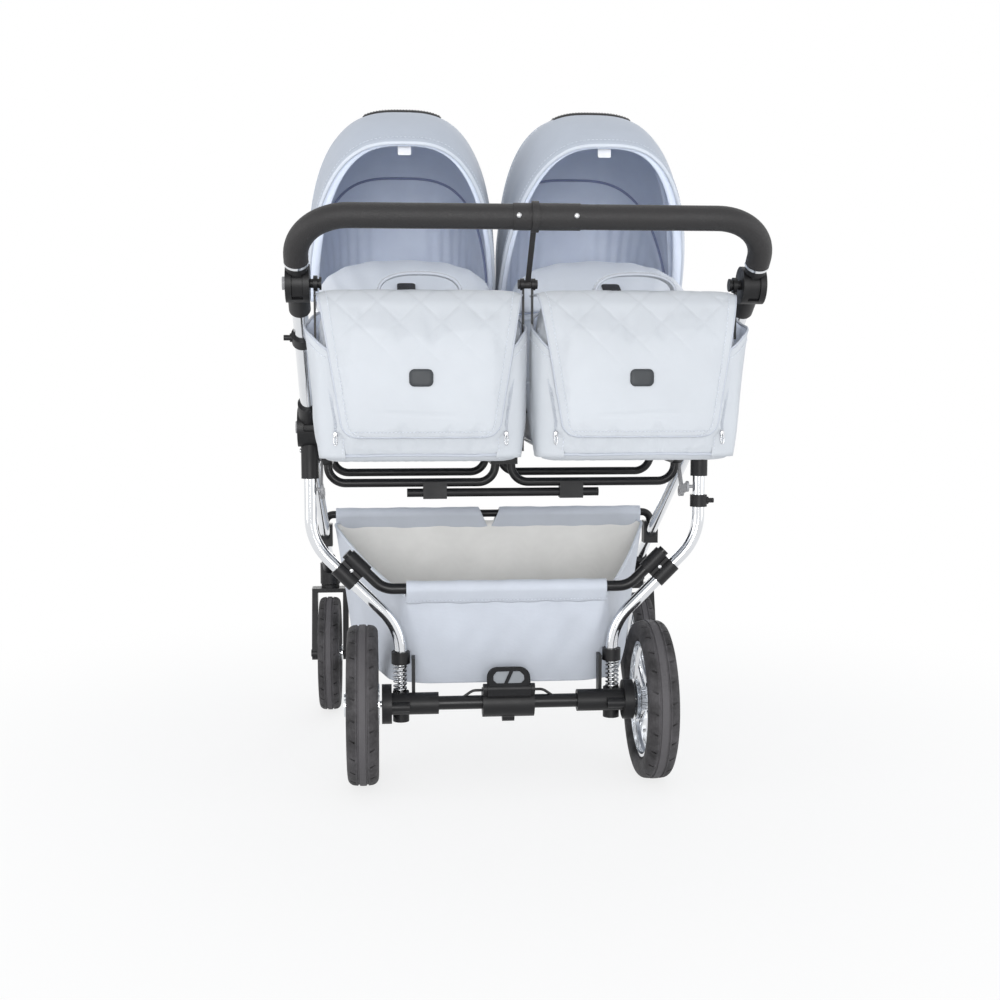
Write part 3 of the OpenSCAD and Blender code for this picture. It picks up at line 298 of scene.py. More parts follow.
FINISH = {
    "chrome": CHROME, "steel": STEEL, "black_plastic": BLACK_PLASTIC, "black_tube": BLACK_TUBE,
    "grey_plastic": GREY_PLASTIC, "pedal_rubber": PEDAL_RUBBER, "tyre": REAR_TYRE,
    "leatherette": GRIP_LEATHER, "fabric": BODY_CLOTH, "cable": CABLE_SKIN, "bow_alloy": ALLOY,
}
for sub in frame["record"]["subparts"]:
    slots = NODES[sub["node"]].data.materials
    slots.clear()
    slots.append(FRONT_TYRE if "front_tyre" in sub["node"] else FINISH[sub["material_slot"]])


# Mesh building

def make(name, verts, faces, materials, face_materials=None, smooth_faces=True):
    """A mesh object in the row frame, with its faces turned outward."""
    mesh = bpy.data.meshes.new(name)
    mesh.from_pydata([tuple(v) for v in verts], [], [tuple(f) for f in faces])
    for m in materials if isinstance(materials, list) else [materials]:
        mesh.materials.append(m)
    if face_materials is not None:
        mesh.polygons.foreach_set("material_index", face_materials)
    b = bmesh.new()
    b.from_mesh(mesh)
    bmesh.ops.recalc_face_normals(b, faces=b.faces)
    b.to_mesh(mesh)
    b.free()
    mesh.polygons.foreach_set("use_smooth", [smooth_faces] * len(mesh.polygons))
    piece = bpy.data.objects.new(name, mesh)
    bpy.context.scene.collection.objects.link(piece)
    return piece


def grid_faces(rows, cols, wrap=False, first=0):
    """Quads of a grid of points, row after row."""
    last = cols if wrap else cols - 1
    return [
        (first + r * cols + c, first + r * cols + (c + 1) % cols,
         first + (r + 1) * cols + (c + 1) % cols, first + (r + 1) * cols + c)
        for r in range(rows - 1) for c in range(last)
    ]


def capped_faces(rows, cols):
    """Faces of a closed form through rings of points, with flat ends."""
    ends = [tuple(range(cols - 1, -1, -1)), tuple(range((rows - 1) * cols, rows * cols))]
    return grid_faces(rows, cols, True) + ends


def joined_faces(rows, cols):
    """Faces through rings of points whose last ring meets the first."""
    n = (rows - 1) * cols
    return grid_faces(rows, cols, True) + [
        (n + c, n + (c + 1) % cols, (c + 1) % cols, c) for c in range(cols)]


def thick_sheet(name, outer, inner, materials, wrap=False):
    """Closed sheet between two grids of points: outer material 0, inner 1, edges 2 or 0."""
    outer, inner = np.asarray(outer, float), np.asarray(inner, float)
    rows, cols = outer.shape[:2]
    n = rows * cols
    top = grid_faces(rows, cols, wrap)
    low = [f[::-1] for f in grid_faces(rows, cols, wrap, n)]
    rims = [[r * cols + c for c in range(cols)] for r in (0, rows - 1)]
    loops = [(e + [e[0]] if wrap else e) for e in rims]
    if not wrap:
        loops += [[r * cols + c for r in range(rows)] for c in (0, cols - 1)]
    edge = [(a, b, b + n, a + n) for e in loops for a, b in zip(e, e[1:])]
    last = 2 if len(materials) > 2 else 0
    index = [0] * len(top) + [1] * len(low) + [last] * len(edge)
    verts = np.concatenate([outer.reshape(-1, 3), inner.reshape(-1, 3)])
    return make(name, verts, top + low + edge, materials, index)


def frames_along(points, closed=False):
    """Unit directions and two steady side vectors at each point of a path."""
    p = np.asarray(points, float)
    ahead = np.roll(p, -1, 0) if closed else np.vstack([p[1:], 2 * p[-1:] - p[-2:-1]])
    behind = np.roll(p, 1, 0) if closed else np.vstack([2 * p[:1] - p[1:2], p[:-1]])
    t = ahead - behind
    t /= np.linalg.norm(t, axis=1)[:, None]
    start = np.array([0, 0, 1.0]) if abs(t[0][2]) < 0.9 else np.array([1.0, 0, 0])
    side = []
    for d in t:
        start = start - d * (start @ d)
        start = start / np.linalg.norm(start)
        side.append(start)
    side = np.array(side)
    return t, side, np.cross(t, side)


def tube_data(points, radius, sides=8, closed=False):
    """Points and faces of a round tube along a path, with closed ends."""
    p = np.asarray(points, float)
    radius = np.broadcast_to(np.asarray(radius, float), len(p))
    _, a, b = frames_along(p, closed)
    turn = around(sides)
    ring = np.cos(turn)[None, :, None] * a[:, None] + np.sin(turn)[None, :, None] * b[:, None]
    verts = (p[:, None] + ring * radius[:, None, None]).reshape(-1, 3)
    return verts, (joined_faces if closed else capped_faces)(len(p), sides)


def tube(name, points, radius, material, sides=8, closed=False):
    return make(name, *tube_data(points, radius, sides, closed), material)


def several(name, parts, material, smooth_faces=True):
    """One object from several (points, faces) parts."""
    verts, faces, n = [], [], 0
    for v, f in parts:
        verts.append(np.asarray(v, float))
        faces += [tuple(i + n for i in face) for face in f]
        n += len(v)
    return make(name, np.concatenate(verts), faces, material, None, smooth_faces)


def distances(points):
    """How far along a path each of its points lies."""
    return np.concatenate([[0], np.cumsum(np.linalg.norm(np.diff(points, axis=0), axis=1))])


def resample(points, step, closed=False):
    """Points about step apart along a path."""
    p = np.asarray(points, float)
    if closed:
        p = np.vstack([p, p[:1]])
    d = distances(p)
    n = max(2, int(round(d[-1] / step)) + 1)
    s = np.linspace(0, d[-1], n)
    out = np.stack([np.interp(s, d, p[:, k]) for k in range(3)], 1)
    return out[:-1] if closed else out


def rounded(points, passes):
    """Path with its corners cut round."""
    p = np.asarray(points, float)
    for _ in range(passes):
        q = [p[0]]
        for a, b in zip(p, p[1:]):
            q += [mix(a, b, 0.25), mix(a, b, 0.75)]
        p = np.array(q + [p[-1]])
    return p


# Places along one stitch, with its height and thickness there
STITCH = ((-0.5, 0, 0.4), (-0.32, 0.6, 0.9), (0, 0.9, 1), (0.32, 0.6, 0.9), (0.5, 0, 0.4))


def stitches(name, points, material, pitch=0.0056, length=0.0036, radius=0.00055, lift=(0, 0, 0)):
    """A row of separate stitches along a path, lifted off its seam."""
    p = resample(points, pitch)
    t, _, _ = frames_along(p)
    lift = np.asarray(lift, float)
    parts = []
    for at, along in zip(p, t):
        path = [at + lift * 0.4 + along * length * k + lift * h for k, h, _ in STITCH]
        parts.append(tube_data(path, [radius * r for _, _, r in STITCH], 5))
    return several(name, parts, material)


def finer(piece):
    """Smooths a piece with a subdivision surface."""
    m = piece.modifiers.new("finer", "SUBSURF")
    m.levels = m.render_levels = 1
    return piece


def points_of(piece):
    co = np.zeros(len(piece.data.vertices) * 3)
    piece.data.vertices.foreach_get("co", co)
    return co.reshape(-1, 3)


def set_points(piece, co):
    piece.data.vertices.foreach_set("co", np.asarray(co, float).ravel())
    piece.data.update()


FILL_FRAMES = 20


def plump(piece, voxel, pressure, cap, held, slack):
    """Fills a closed cloth form like a cushion; held gives each point's pin from 0 to 1."""
    m = piece.modifiers.new("even", "REMESH")
    m.mode = "VOXEL"
    m.voxel_size = voxel
    m.use_smooth_shade = True
    graph = bpy.context.evaluated_depsgraph_get()
    even = bpy.data.meshes.new_from_object(piece.evaluated_get(graph))
    piece.modifiers.clear()
    piece.data = even
    rest = points_of(piece)
    cloth = piece.modifiers.new("cloth", "CLOTH")
    s = cloth.settings
    s.quality = 5
    s.mass = 0.3
    s.tension_stiffness = s.compression_stiffness = 12
    s.shear_stiffness = 8
    s.bending_stiffness = 0.4
    s.shrink_min = -slack
    s.use_pressure = True
    s.uniform_pressure_force = pressure
    s.effector_weights.gravity = 0
    cloth.collision_settings.use_collision = False
    cloth.collision_settings.use_self_collision = False
    group = piece.vertex_groups.new(name="held")
    for i, w in enumerate(held(rest)):
        group.add([i], float(w), "REPLACE")
    s.vertex_group_mass = "held"
    cloth.point_cache.frame_start = 1
    cloth.point_cache.frame_end = FILL_FRAMES
    scene = bpy.context.scene
    for f in range(1, FILL_FRAMES + 1):
        scene.frame_set(f)
    graph = bpy.context.evaluated_depsgraph_get()
    moved = np.array([v.co for v in piece.evaluated_get(graph).data.vertices])
    step = moved - rest
    size = np.linalg.norm(step, axis=1)
    step *= np.minimum(1, cap / np.maximum(size, 1e-9))[:, None]
    piece.modifiers.clear()
    piece.vertex_groups.clear()
    set_points(piece, rest + step)
    scene.frame_set(1)


def loft(name, rings, material):
    """Closed form through rings of points, with flat ends."""
    rings = np.asarray(rings, float)
    return make(name, rings.reshape(-1, 3), capped_faces(*rings.shape[:2]), material)


def cup(name, rings, inner_from, materials):
    """Closed cup through rings: outside first, then over its rim and down its inside."""
    rings = np.asarray(rings, float)
    rows, cols = rings.shape[:2]
    index = [1 if r >= inner_from else 0 for r in range(rows - 1) for _ in range(cols)]
    return make(name, rings.reshape(-1, 3), capped_faces(rows, cols), materials, index + [0, 1])


def both(piece):
    """A right-hand piece and its mirror image, each named after its side."""
    name = piece.name
    twin = piece.copy()
    twin.data = piece.data.copy()
    bpy.context.scene.collection.objects.link(twin)
    set_points(twin, points_of(twin) * (-1, 1, 1))
    twin.data.flip_normals()
    twin.name, piece.name = f"left_{name}", f"right_{name}"
    return {"left": twin, "right": piece}


def carried(piece, body):
    """Rides a piece on a body."""
    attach(piece, body)
    return piece


def pair(piece, body, replaces=()):
    """Rides a right-hand piece and its mirror image on the two sides' bodies."""
    out = both(piece)
    for side, p in out.items():
        carried(p, f"{side}_{body}")
        if replaces:
            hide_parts(*[f"{side}_{n}" for n in replaces])
    return out


def tree_of(piece):
    co = [Vector(p) for p in points_of(piece)]
    return BVHTree.FromPolygons(co, [tuple(p.vertices) for p in piece.data.polygons])


PLATE_BEVEL = 0.0008


def rounded_plate(name, wide, high, thick, corner, material):
    """Flat plate with round corners in the X-Z plane, its back at Y = 0 and its face at -thick."""
    outline = []
    for cx, cz, start in ((1, 1, 0), (-1, 1, 90), (-1, -1, 180), (1, -1, 270)):
        for a in np.linspace(start, start + 90, 9):
            outline.append((cx * (wide / 2 - corner) + corner * cosd(a),
                            cz * (high / 2 - corner) + corner * sind(a)))
    x, z = np.array(outline).T
    rings = []
    edges = ((0, 0), (0, -thick + PLATE_BEVEL), (PLATE_BEVEL, -thick), (corner * 0.6, -thick * 1.04))
    for draw, y in edges:
        grow = 1 - draw / (min(wide, high) / 2)
        rings.append(np.column_stack([x * grow, np.full(len(x), y), z * grow]))
    return loft(name, rings, material)


def shift(piece, by):
    set_points(piece, points_of(piece) + np.asarray(by, float))
    return piece


def tilt_x(piece, degrees, about):
    """Turns a piece about a line along X."""
    x, y, z = (points_of(piece) - np.asarray(about, float)).T
    s, c = sind(degrees), cosd(degrees)
    set_points(piece, np.column_stack([x, y * c - z * s, y * s + z * c]) + np.asarray(about, float))


# Changing bags on the handle

BAG_HALF_W, BAG_HALF_D = 0.159, 0.052
BAG_BODY_H = 0.252
BAG_TOP = KNUCKLE_Z - 0.018
BAG_BOTTOM = BAG_TOP - BAG_BODY_H
BAG_Y = BAG_LOW.y + BAG_HALF_D
BAG_PIPING_R = 0.0021
FLAP_RISE = 0.040
FLAP_TOP_W, FLAP_HEM_W, FLAP_CORNER = 0.160, 0.116, 0.020
QUILT_PITCH = 0.064
POCKET_TURN = 62
LOOP_HALF_W, LOOP_H = 0.062, 0.030
LOOP_SECTION = (
    (-0.012, -0.0012), (-0.010, -0.0024), (0.010, -0.0024), (0.012, -0.0012), (0.012, 0.0012),
    (0.010, 0.0030), (0, 0.0042), (-0.010, 0.0030), (-0.012, 0.0012))
ZIP_TOOTH = (-0.0024, -0.0012, 0.0012, 0.0024)
PUSHER_SIDE = np.array([0, -1.0, 0])


def bag_share(z):
    """Height on the bag's body, from 0 at its bottom to 1 at its top."""
    return (z - BAG_BOTTOM) / BAG_BODY_H


def bag_half(h):
    return BAG_HALF_W - 0.009 * np.abs(2 * h - 0.9) ** 3


def bag_deep(h):
    return BAG_HALF_D - 0.016 * np.abs(2 * h - 0.85) ** 2.6


def bag_outline(w, d, turns):
    """X and Y round the bag, for its half width and half depth."""
    return BAG_X + w * spow(np.cos(turns), 0.4), BAG_Y + d * spow(np.sin(turns), 0.5)


def bag_body():
    """The bag's filled body, drawn in at its ends and beside the pockets' mouths."""
    turns = around(112)
    ends = [(0.0, 0.020), (0.003, 0.009), (0.011, 0.002)]
    levels = [(BAG_BOTTOM + up, draw) for up, draw in ends]
    levels += [(z, 0.0) for z in np.linspace(BAG_BOTTOM + 0.022, BAG_TOP - 0.022, 26)]
    levels += [(BAG_TOP - up, draw) for up, draw in ends[::-1]]
    rings = []
    for z, draw in levels:
        h = bag_share(z)
        w = bag_half(h) - draw - 0.004 * smooth((h - 0.4) / 0.3)
        x, y = bag_outline(w, bag_deep(h) - draw, turns)
        rings.append(np.column_stack([x, y, np.full(len(turns), z)]))
    body = loft("bag_body", rings, BAG_CLOTH)

    def held(p):
        x, y, z = p.T
        low, high = bell(z - BAG_BOTTOM - 0.004, 0.008), bell(z - BAG_TOP + 0.004, 0.010)
        seam = bell(np.abs(x - BAG_X) - 0.132 - 0.006 * bag_share(z), 0.004)
        return np.clip(0.8 * low + 0.9 * high + 0.9 * seam * (y < BAG_Y), 0, 1)

    plump(body, voxel=0.0055, pressure=3.5, cap=0.007, held=held, slack=0.025)
    p = points_of(body)
    x, y, z = p.T
    h = bag_share(z)
    beside = smooth((np.abs(x - BAG_X) / bag_half(h) - 0.82) / 0.1)
    fold = 0.0022 * np.sin((y - BAG_Y) * 2 * math.pi / 0.021) * beside * smooth((h - 0.55) / 0.3)
    p[:, 0] -= np.sign(x - BAG_X) * np.abs(fold)
    set_points(body, p)
    return body


def flap_path():
    """The flap's line in the Y-Z plane, from behind the bag's top edge to its lower hem."""
    over = ((0.022, 0.0035), (-0.004, 0.0045), (-0.024, 0.003))
    line = [(0, BAG_Y + y, BAG_TOP + z) for y, z in over]
    for z in np.linspace(BAG_TOP - 0.012, BAG_BOTTOM + FLAP_RISE, 24):
        line.append((0, BAG_Y - bag_deep(bag_share(z)) - 0.0035, z))
    return resample(rounded(line, 3), 0.0026)


def flap_half(s, length):
    """Half the flap's width at the distance s along it, with round lower corners."""
    over = np.clip((s - (length - FLAP_CORNER)) / FLAP_CORNER, 0, 1)
    w = mix(FLAP_TOP_W, FLAP_HEM_W, s / length)
    return w - FLAP_CORNER * (1 - np.sqrt(np.maximum(0, 1 - over ** 2)))


def flap_push(tree, base, out):
    """How far each point of the flap has to come out to lie on the bag's body."""
    start, gap = 0.06, 0.0022
    push = np.zeros(base.shape[:2])
    for i, direction in enumerate(out):
        n = Vector(direction)
        for j, at in enumerate(base[i]):
            hit, _, _, far = tree.ray_cast(Vector(at) + n * start, -n, 0.08)
            if hit is not None:
                push[i, j] = max(0.0, start - far + gap)
    for _ in range(3):
        pad = np.pad(push, 1, mode="edge")
        near = (pad[:-2, 1:-1] + pad[2:, 1:-1] + pad[1:-1, :-2] + pad[1:-1, 2:]) / 4
        push = np.maximum(push, near)
    return push


def flap_thickness(dx, s, u):
    """Padding of the flap: quilted above, a crease across its lower part, thin at its hems."""
    one = np.abs(np.sin(math.pi * (dx + s[:, None]) / QUILT_PITCH))
    two = np.abs(np.sin(math.pi * (dx - s[:, None]) / QUILT_PITCH))
    swell = np.minimum(one, two)
    line = 1 - smooth(swell / 0.16)
    fade = (1 - smooth((s - 0.055) / 0.13))[:, None] * smooth((1.02 - np.abs(u)) / 0.12)
    crease_s = s[-1] - 0.034 - 0.0025 * np.sin(dx * 19)
    crease = bell(s[:, None] - crease_s, 0.0028) * (1 - smooth((np.abs(u) - 0.25) / 0.45))
    hem = np.clip(bell(1 - np.abs(u), 0.05) + bell(s[-1] - s, 0.005)[:, None], 0, 1)
    return 0.0042 - 0.0013 * line * fade + 0.0007 * swell * fade - 0.0011 * crease - 0.0009 * hem


def bag_flap(tree):
    """Flap over the bag's top and front, with its two grids of points and the ways it faces."""
    line = flap_path()
    s = distances(line)
    t, _, _ = frames_along(line)
    out = np.column_stack([np.zeros(len(t)), t[:, 2], -t[:, 1]])
    out *= np.sign(-out[-1, 1])
    u = np.linspace(-1, 1, 107)
    dx = flap_half(s, s[-1])[:, None] * u
    base = np.zeros((len(s), len(u), 3))
    base[..., 0] = BAG_X + dx
    base[..., 1:] = line[:, None, 1:]
    base += out[:, None] * (-0.0045 * np.abs(u) ** 7)[:, None]
    inner = base + out[:, None] * flap_push(tree, base, out)[..., None]
    outer = inner + out[:, None] * flap_thickness(dx, s, u)[..., None]
    return thick_sheet("bag_flap", outer, inner, [BAG_CLOTH, LINING]), outer, inner, out


def bag_pocket(side, bulge):
    """Outer and inner grids of points of a slanted side pocket."""
    turns = np.linspace(-POCKET_TURN, POCKET_TURN, 41)
    a = np.radians(turns)
    across = np.clip((turns + POCKET_TURN) / (2 * POCKET_TURN), 0, 1)
    top = 0.60 + 0.36 * across ** 0.7
    outer, inner = [], []
    for share in np.linspace(0, 1, 26):
        h = mix(0.025, top, share)
        x, y = bag_outline(side * bag_half(h), bag_deep(h), a)
        out = 0.0012 + bulge * np.sin(math.pi * across) ** 0.8 * (0.6 * share ** 1.5 + 0.4 * share ** 5)
        out = out + 0.0013 * np.sin(turns * 0.17 + 3 * share) * share
        for grid, o in ((outer, out), (inner, out - 0.0022)):
            grid.append(np.column_stack([
                x + np.cos(a) * side * o, y + 0.35 * np.sin(a) * o, BAG_BOTTOM + BAG_BODY_H * h]))
    return np.array(outer), np.array(inner)


def zip_teeth(name, points):
    """Coil zip: short teeth set across a path."""
    p = resample(points, 0.0021)
    t, _, _ = frames_along(p)
    parts = []
    for k, (at, along) in enumerate(zip(p, t)):
        across = np.cross(along, PUSHER_SIDE)
        lean = 0.0004 if k % 2 else -0.0004
        tooth = [at + across * (e + lean) + PUSHER_SIDE * (0.0005 - abs(e) * 0.12) for e in ZIP_TOOTH]
        parts.append(tube_data(tooth, 0.00062, 5))
    return several(name, parts, SHADED_BAG_PIPING)


def zip_pull(name, at):
    """Slider with a hanging pull tab."""
    slider = shift(rounded_plate(name + "_slider", 0.0062, 0.0085, 0.0034, 0.0022, STEEL), at)
    a = around(20)
    ring = np.column_stack([0.0024 * np.cos(a), np.full(20, -0.0044), -0.0085 + 0.0078 * np.sin(a)])
    return [slider, tube(name + "_tab", at + ring, 0.00085, STEEL, 6, True)]


def on_front(tree, x, z, proud):
    """List of the point just in front of a bag at X and Z, empty where there is none."""
    hit, _, _, _ = tree.ray_cast(Vector((x, BAG_Y - 0.2, z)), Vector((0, 1, 0)), 0.4)
    return [] if hit is None else [np.array(hit) + PUSHER_SIDE * proud]


def bag_side(tag, edge, tree):
    """Zip, seam and pocket on one side of the bag, beside that edge of its flap."""
    side = SIDES[tag]
    rows = len(edge)
    path = []
    for i in range(int(rows * 0.16), rows - 2, 3):
        half = abs(edge[min(i, rows - 10)][0] - BAG_X)
        path += on_front(tree, BAG_X + side * (half + 0.0085), edge[i][2], 0.0008)
    trim = [zip_teeth(f"bag_zip_{tag}", path)]
    trim += zip_pull(f"bag_zip_{tag}", path[-1] + (0, -0.0016, -0.004))
    seam = []
    for up in np.linspace(0.036, 0.006, 12):
        x = BAG_X + side * (0.116 + 0.1 * (0.036 - up))
        seam += on_front(tree, x, BAG_BOTTOM + up, 0.0005)
    trim.append(stitches(f"bag_seam_{tag}", seam, THREAD, lift=[0, -0.0009, 0]))
    outer, inner = bag_pocket(side, 0.017 if side > 0 else 0.0050)
    pocket = thick_sheet(f"bag_pocket_{tag}", outer, inner, [BAG_CLOTH, LINING])
    for s, p in pair(pocket, "bag").items():
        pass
    binding = resample((outer[-1] + inner[-1]) / 2, 0.004)
    trim.append(tube(f"bag_pocket_binding_{tag}", binding, BAG_PIPING_R, SHADED_BAG_PIPING))
    mouth = outer[-3][2:-2]
    trim.append(stitches(f"bag_pocket_stitch_{tag}", mouth, THREAD, lift=[side * 0.0008, 0, 0]))
    return trim


def bag_loop():
    """Carry loop over the bag's top, with its edge piping, stitches and end patches."""
    a = np.linspace(0, math.pi, 49)
    arch = np.column_stack([BAG_X - LOOP_HALF_W * spow(np.cos(a), 0.8), np.full(49, KNUCKLE_Y),
                            BAG_TOP + 0.0035 + LOOP_H * spow(np.sin(a), 0.8)])
    t, _, _ = frames_along(arch)
    up = np.column_stack([-t[:, 2], np.zeros(49), t[:, 0]])
    up *= np.sign(up[24, 2])
    rings = [[p + (0, e, 0) + n * f for e, f in LOOP_SECTION] for p, n in zip(arch, up)]
    trim = [finer(loft("bag_loop", rings, BAG_CLOTH))]
    for tag, s in (("front", -1), ("rear", 1)):
        trim.append(tube(f"bag_loop_piping_{tag}", arch + (0, s * 0.0118, 0), BAG_PIPING_R, SHADED_BAG_PIPING))
        row = (arch + up * 0.0032 + (0, s * 0.0075, 0))[3:-3]
        trim.append(stitches(f"bag_loop_stitch_{tag}", row, THREAD, lift=[0, 0, 0.0007]))
    for tag, s in SIDES.items():
        patch = rounded_plate(f"bag_loop_patch_{tag}", 0.026, 0.028, 0.0024, 0.004, BAG_CLOTH)
        x, y, z = points_of(patch).T
        lying = np.column_stack([x, z, -y])
        set_points(patch, lying + (BAG_X + s * LOOP_HALF_W, KNUCKLE_Y, BAG_TOP + 0.006))
        trim.append(patch)
    return trim


def build_bags():
    body = bag_body()
    tree = tree_of(body)
    flap, outer, inner, out = bag_flap(tree)
    mid = (outer + inner) / 2
    border = np.concatenate([mid[:, 0], mid[-1, 1:-1], mid[::-1, -1]])
    # painted shade: the flap's edge piping is darker so that it reads as a shadow line
    trim = [tube("bag_flap_piping", resample(border, 0.004), 0.0020, SHADED_BAG_PIPING)]
    for name, path, n in (
        ("left", outer[8:, 4], out[40]), ("right", outer[8:, -5], out[40]), ("hem", outer[-4, 6:-6], out[-1])
    ):
        trim.append(stitches(f"bag_flap_stitch_{name}", path, THREAD, lift=n * 0.0009))
    trim += bag_side("left", outer[:, 0], tree) + bag_side("right", outer[:, -1], tree)
    ring = []
    for x, y in zip(*bag_outline(bag_half(0.04), bag_deep(0.04), around(100))):
        near, normal, _, _ = tree.find_nearest(Vector((x, y, BAG_BOTTOM + 0.010)))
        ring.append(np.array(near) + np.array(normal) * 0.0006)
    ring = resample(ring, 0.005, True)
    trim.append(tube("bag_base_piping", ring, BAG_PIPING_R, SHADED_BAG_PIPING, closed=True))
    trim += bag_loop()
    [at] = on_front(tree_of(flap), BAG_X, BAG_BOTTOM + 0.128, 0)
    plaque = rounded_plate("bag_plaque", 0.036, 0.026, 0.0030, 0.008, PLAQUE)
    tilt_x(shift(plaque, at + (0, 0.0008, 0)), -2, at)
    trim.append(plaque)
    for p in pair(finer(body), "bag", replaces=("bag",)).values():
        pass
    for side, p in pair(flap, "bag").items():
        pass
    for piece in trim:
        pair(piece, "bag")


build_bags()


# Folding hoods

HOOD_HALF_W = 0.178
HOOD_PAD = 0.006
VISOR_LEAN = 40
MID_BOW = -38
HOOD_BACK = -94
ARCH = np.concatenate([[1.3, 2.0, 2.9], np.linspace(4, 176, 121), [177.1, 178.0, 178.7]])
STRIP_ACROSS = np.linspace(74, 106, 41)
STRIP_FRONT, STRIP_REAR = 9.5, 2.6
STRETCHED = ("hood_shell", "hood_mid_seam", "hood_inner_seam", "hood_stitch_ridge_rear")
# Lining channels of the bows at two leans: sections forward and inward, in millimetres
EDGE_CHANNEL = ((-7.6, 6.0), (-7.0, 10.6), (-5.2, 13.0), (4.4, 13.0), (6.2, 10.6), (6.6, 6.0))
RIDGE_CHANNEL = ((-7.0, 5.6), (-6.6, 10.0), (-5.0, 12.2), (5.0, 12.2), (6.6, 10.0), (7.0, 5.6))


def hood_points(a, b, d, full=1.0):
    """Points of the hood: a degrees from upright, positive forward; b degrees across; d metres inward."""
    a, b, d = np.broadcast_arrays(a, b, d)
    k, f = np.maximum(0, -a / 90), np.maximum(0, a / VISOR_LEAN)
    fuller = full * np.where(b < 90, 0.009, 0.0015) * np.clip(1 - k, 0, 1)
    w = mix(HOOD_HALF_W, HOOD_HALF_W - 0.0085, k) + fuller - d
    r = mix(HOOD_R, HOOD_R - 0.0195, smooth(k)) - d
    across = (w - 0.024 * f * sind(b)) * spow(cosd(b), mix(0.68, 0.56, k))
    reach = r * np.abs(sind(b)) ** mix(0.68, 0.62, k)
    return np.stack([COT_X + across, HOOD_Y - reach * sind(a), HOOD_Z + reach * cosd(a)], -1)


def hood_sag(a, b):
    """How far the cloth falls in between its bows."""
    a, b = np.broadcast_arrays(a, b)
    sag = np.zeros(a.shape)
    spans = ((0, VISOR_LEAN, 0.0022), (MID_BOW, 0, 0.0042), (HOOD_BACK, MID_BOW, 0.0030))
    for low, high, depth in spans:
        inside = (a >= low) & (a <= high)
        sag = np.where(inside, depth * np.sin(math.pi * (a - low) / (high - low)) ** 2, sag)
    ripple = 0.0016 * np.abs(cosd(b)) ** 3 * np.sin(a * 0.42 + 1.3) * sind(b) ** 0.5
    return sag * sind(b) ** 0.7 + ripple


def hood_strip():
    """Leatherette carry strip on the ridge, with its stitches."""
    lift = 0.0026 * np.sin(np.linspace(0, math.pi, 41)) ** 0.35
    rows = []
    for a, up in ((STRIP_REAR, 0.0), (2.8, 0.7), (4.2, 1.0), (6.2, 1.06), (8.0, 1.0), (9.3, 0.7),
                  (STRIP_FRONT, 0.0)):
        rows.append(hood_points(a, STRIP_ACROSS, -0.0006 - lift * up))
    low = hood_points(np.linspace(STRIP_REAR, STRIP_FRONT, 7)[:, None], STRIP_ACROSS, 0.0024)
    pieces = [thick_sheet("hood_carry_strip", rows, low, [GRIP_LEATHER, GRIP_LEATHER])]
    for tag, a in (("front", 8.6), ("rear", 3.5)):
        path = hood_points(a, STRIP_ACROSS, -0.0006 - lift * 0.9)[2:-2]
        pieces.append(stitches(f"hood_strip_stitch_{tag}", path, DARK_THREAD, lift=[0, 0, 0.0006]))
    return pieces


def build_hoods():
    a = np.unique(np.concatenate([np.linspace(HOOD_BACK, VISOR_LEAN, 96), [0.0, MID_BOW]]))[:, None]
    sag = hood_sag(a, ARCH)
    back = smooth((MID_BOW - 3 - a) / 10)
    pleat = 0.0038 * back * (0.5 + 0.5 * np.sin(ARCH * 0.62)) * sind(ARCH)
    step = 0.004 * smooth((MID_BOW - a) / 2)
    outer, inner = hood_points(a, ARCH, sag), hood_points(a, ARCH, HOOD_PAD + sag + pleat + step)
    pieces = [
        thick_sheet("hood_shell", outer, inner, [HOOD_CLOTH, LINING, PIPING]),
        tube("hood_edge_piping", hood_points(VISOR_LEAN, ARCH, 0.0030), 0.0034, PIPING, 10),
        tube("hood_ridge_piping", hood_points(0, ARCH, 0.0002), 0.0017, HOOD_CLOTH),
        tube("hood_mid_seam", hood_points(MID_BOW, ARCH, 0.0004), 0.0014, HOOD_CLOTH),
        # painted shade: the inner seam is drawn darker to stand for the shadow along its gather
        tube("hood_inner_seam", hood_points(MID_BOW, ARCH[4:-4], HOOD_PAD + 0.0016), 0.0026, SEAM_SHADE),
    ]
    over = ARCH[8:-8]
    for name, at in (("edge", VISOR_LEAN - 2.2), ("ridge_front", 1.1), ("ridge_rear", -1.1)):
        path = hood_points(at, over, hood_sag(at, over) - 0.0002)
        pieces.append(stitches(f"hood_stitch_{name}", path, THREAD, 0.0075, 0.0048, lift=[0, 0, 0.0004]))
    for name, at, section in (("edge", VISOR_LEAN - 1.5, EDGE_CHANNEL), ("ridge", 0.0, RIDGE_CHANNEL)):
        ahead = np.array([0, -cosd(at), -sind(at)])
        grid = []
        for t, d in section:
            grid.append(hood_points(at, ARCH, d / 1000, 1.0 if d < 7 else 0.0) + ahead * t / 1000)
        pieces.append(loft(f"hood_channel_{name}", np.array(grid).transpose(1, 0, 2), LINING))
    tag = rounded_plate("hood_tag", 0.024, 0.026, 0.0009, 0.0025, TAG_CLOTH)
    pieces.append(shift(tag, hood_points(VISOR_LEAN - 3.5, 90.0, 0.012) - (0, 0, 0.012)))
    for piece in pieces + hood_strip():
        name = piece.name
        for side, p in both(piece).items():
            if name in STRETCHED:
                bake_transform(p)
            else:
                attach(p, f"{side}_hood")
            if name == "hood_shell":
                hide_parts(f"{side}_hood")


build_hoods()


# Carrycots, their mattresses and aprons

COT_BASE_W = 0.125
COT_WALL = 0.012
COT_H = COT_RIM_Z - COT_BASE_Z
COT_FLOOR_Z = COT_BASE_Z + 0.0123
ROUND_X, ROUND_Y = 0.56, 0.62
APRON_Y, APRON_LEN = 0.009, 0.276
APRON_H, APRON_FOOT_H = 0.100, 0.018
APRON_SKIRT_Z = COT_RIM_Z - 0.016
APRON_FOLD = 0.80


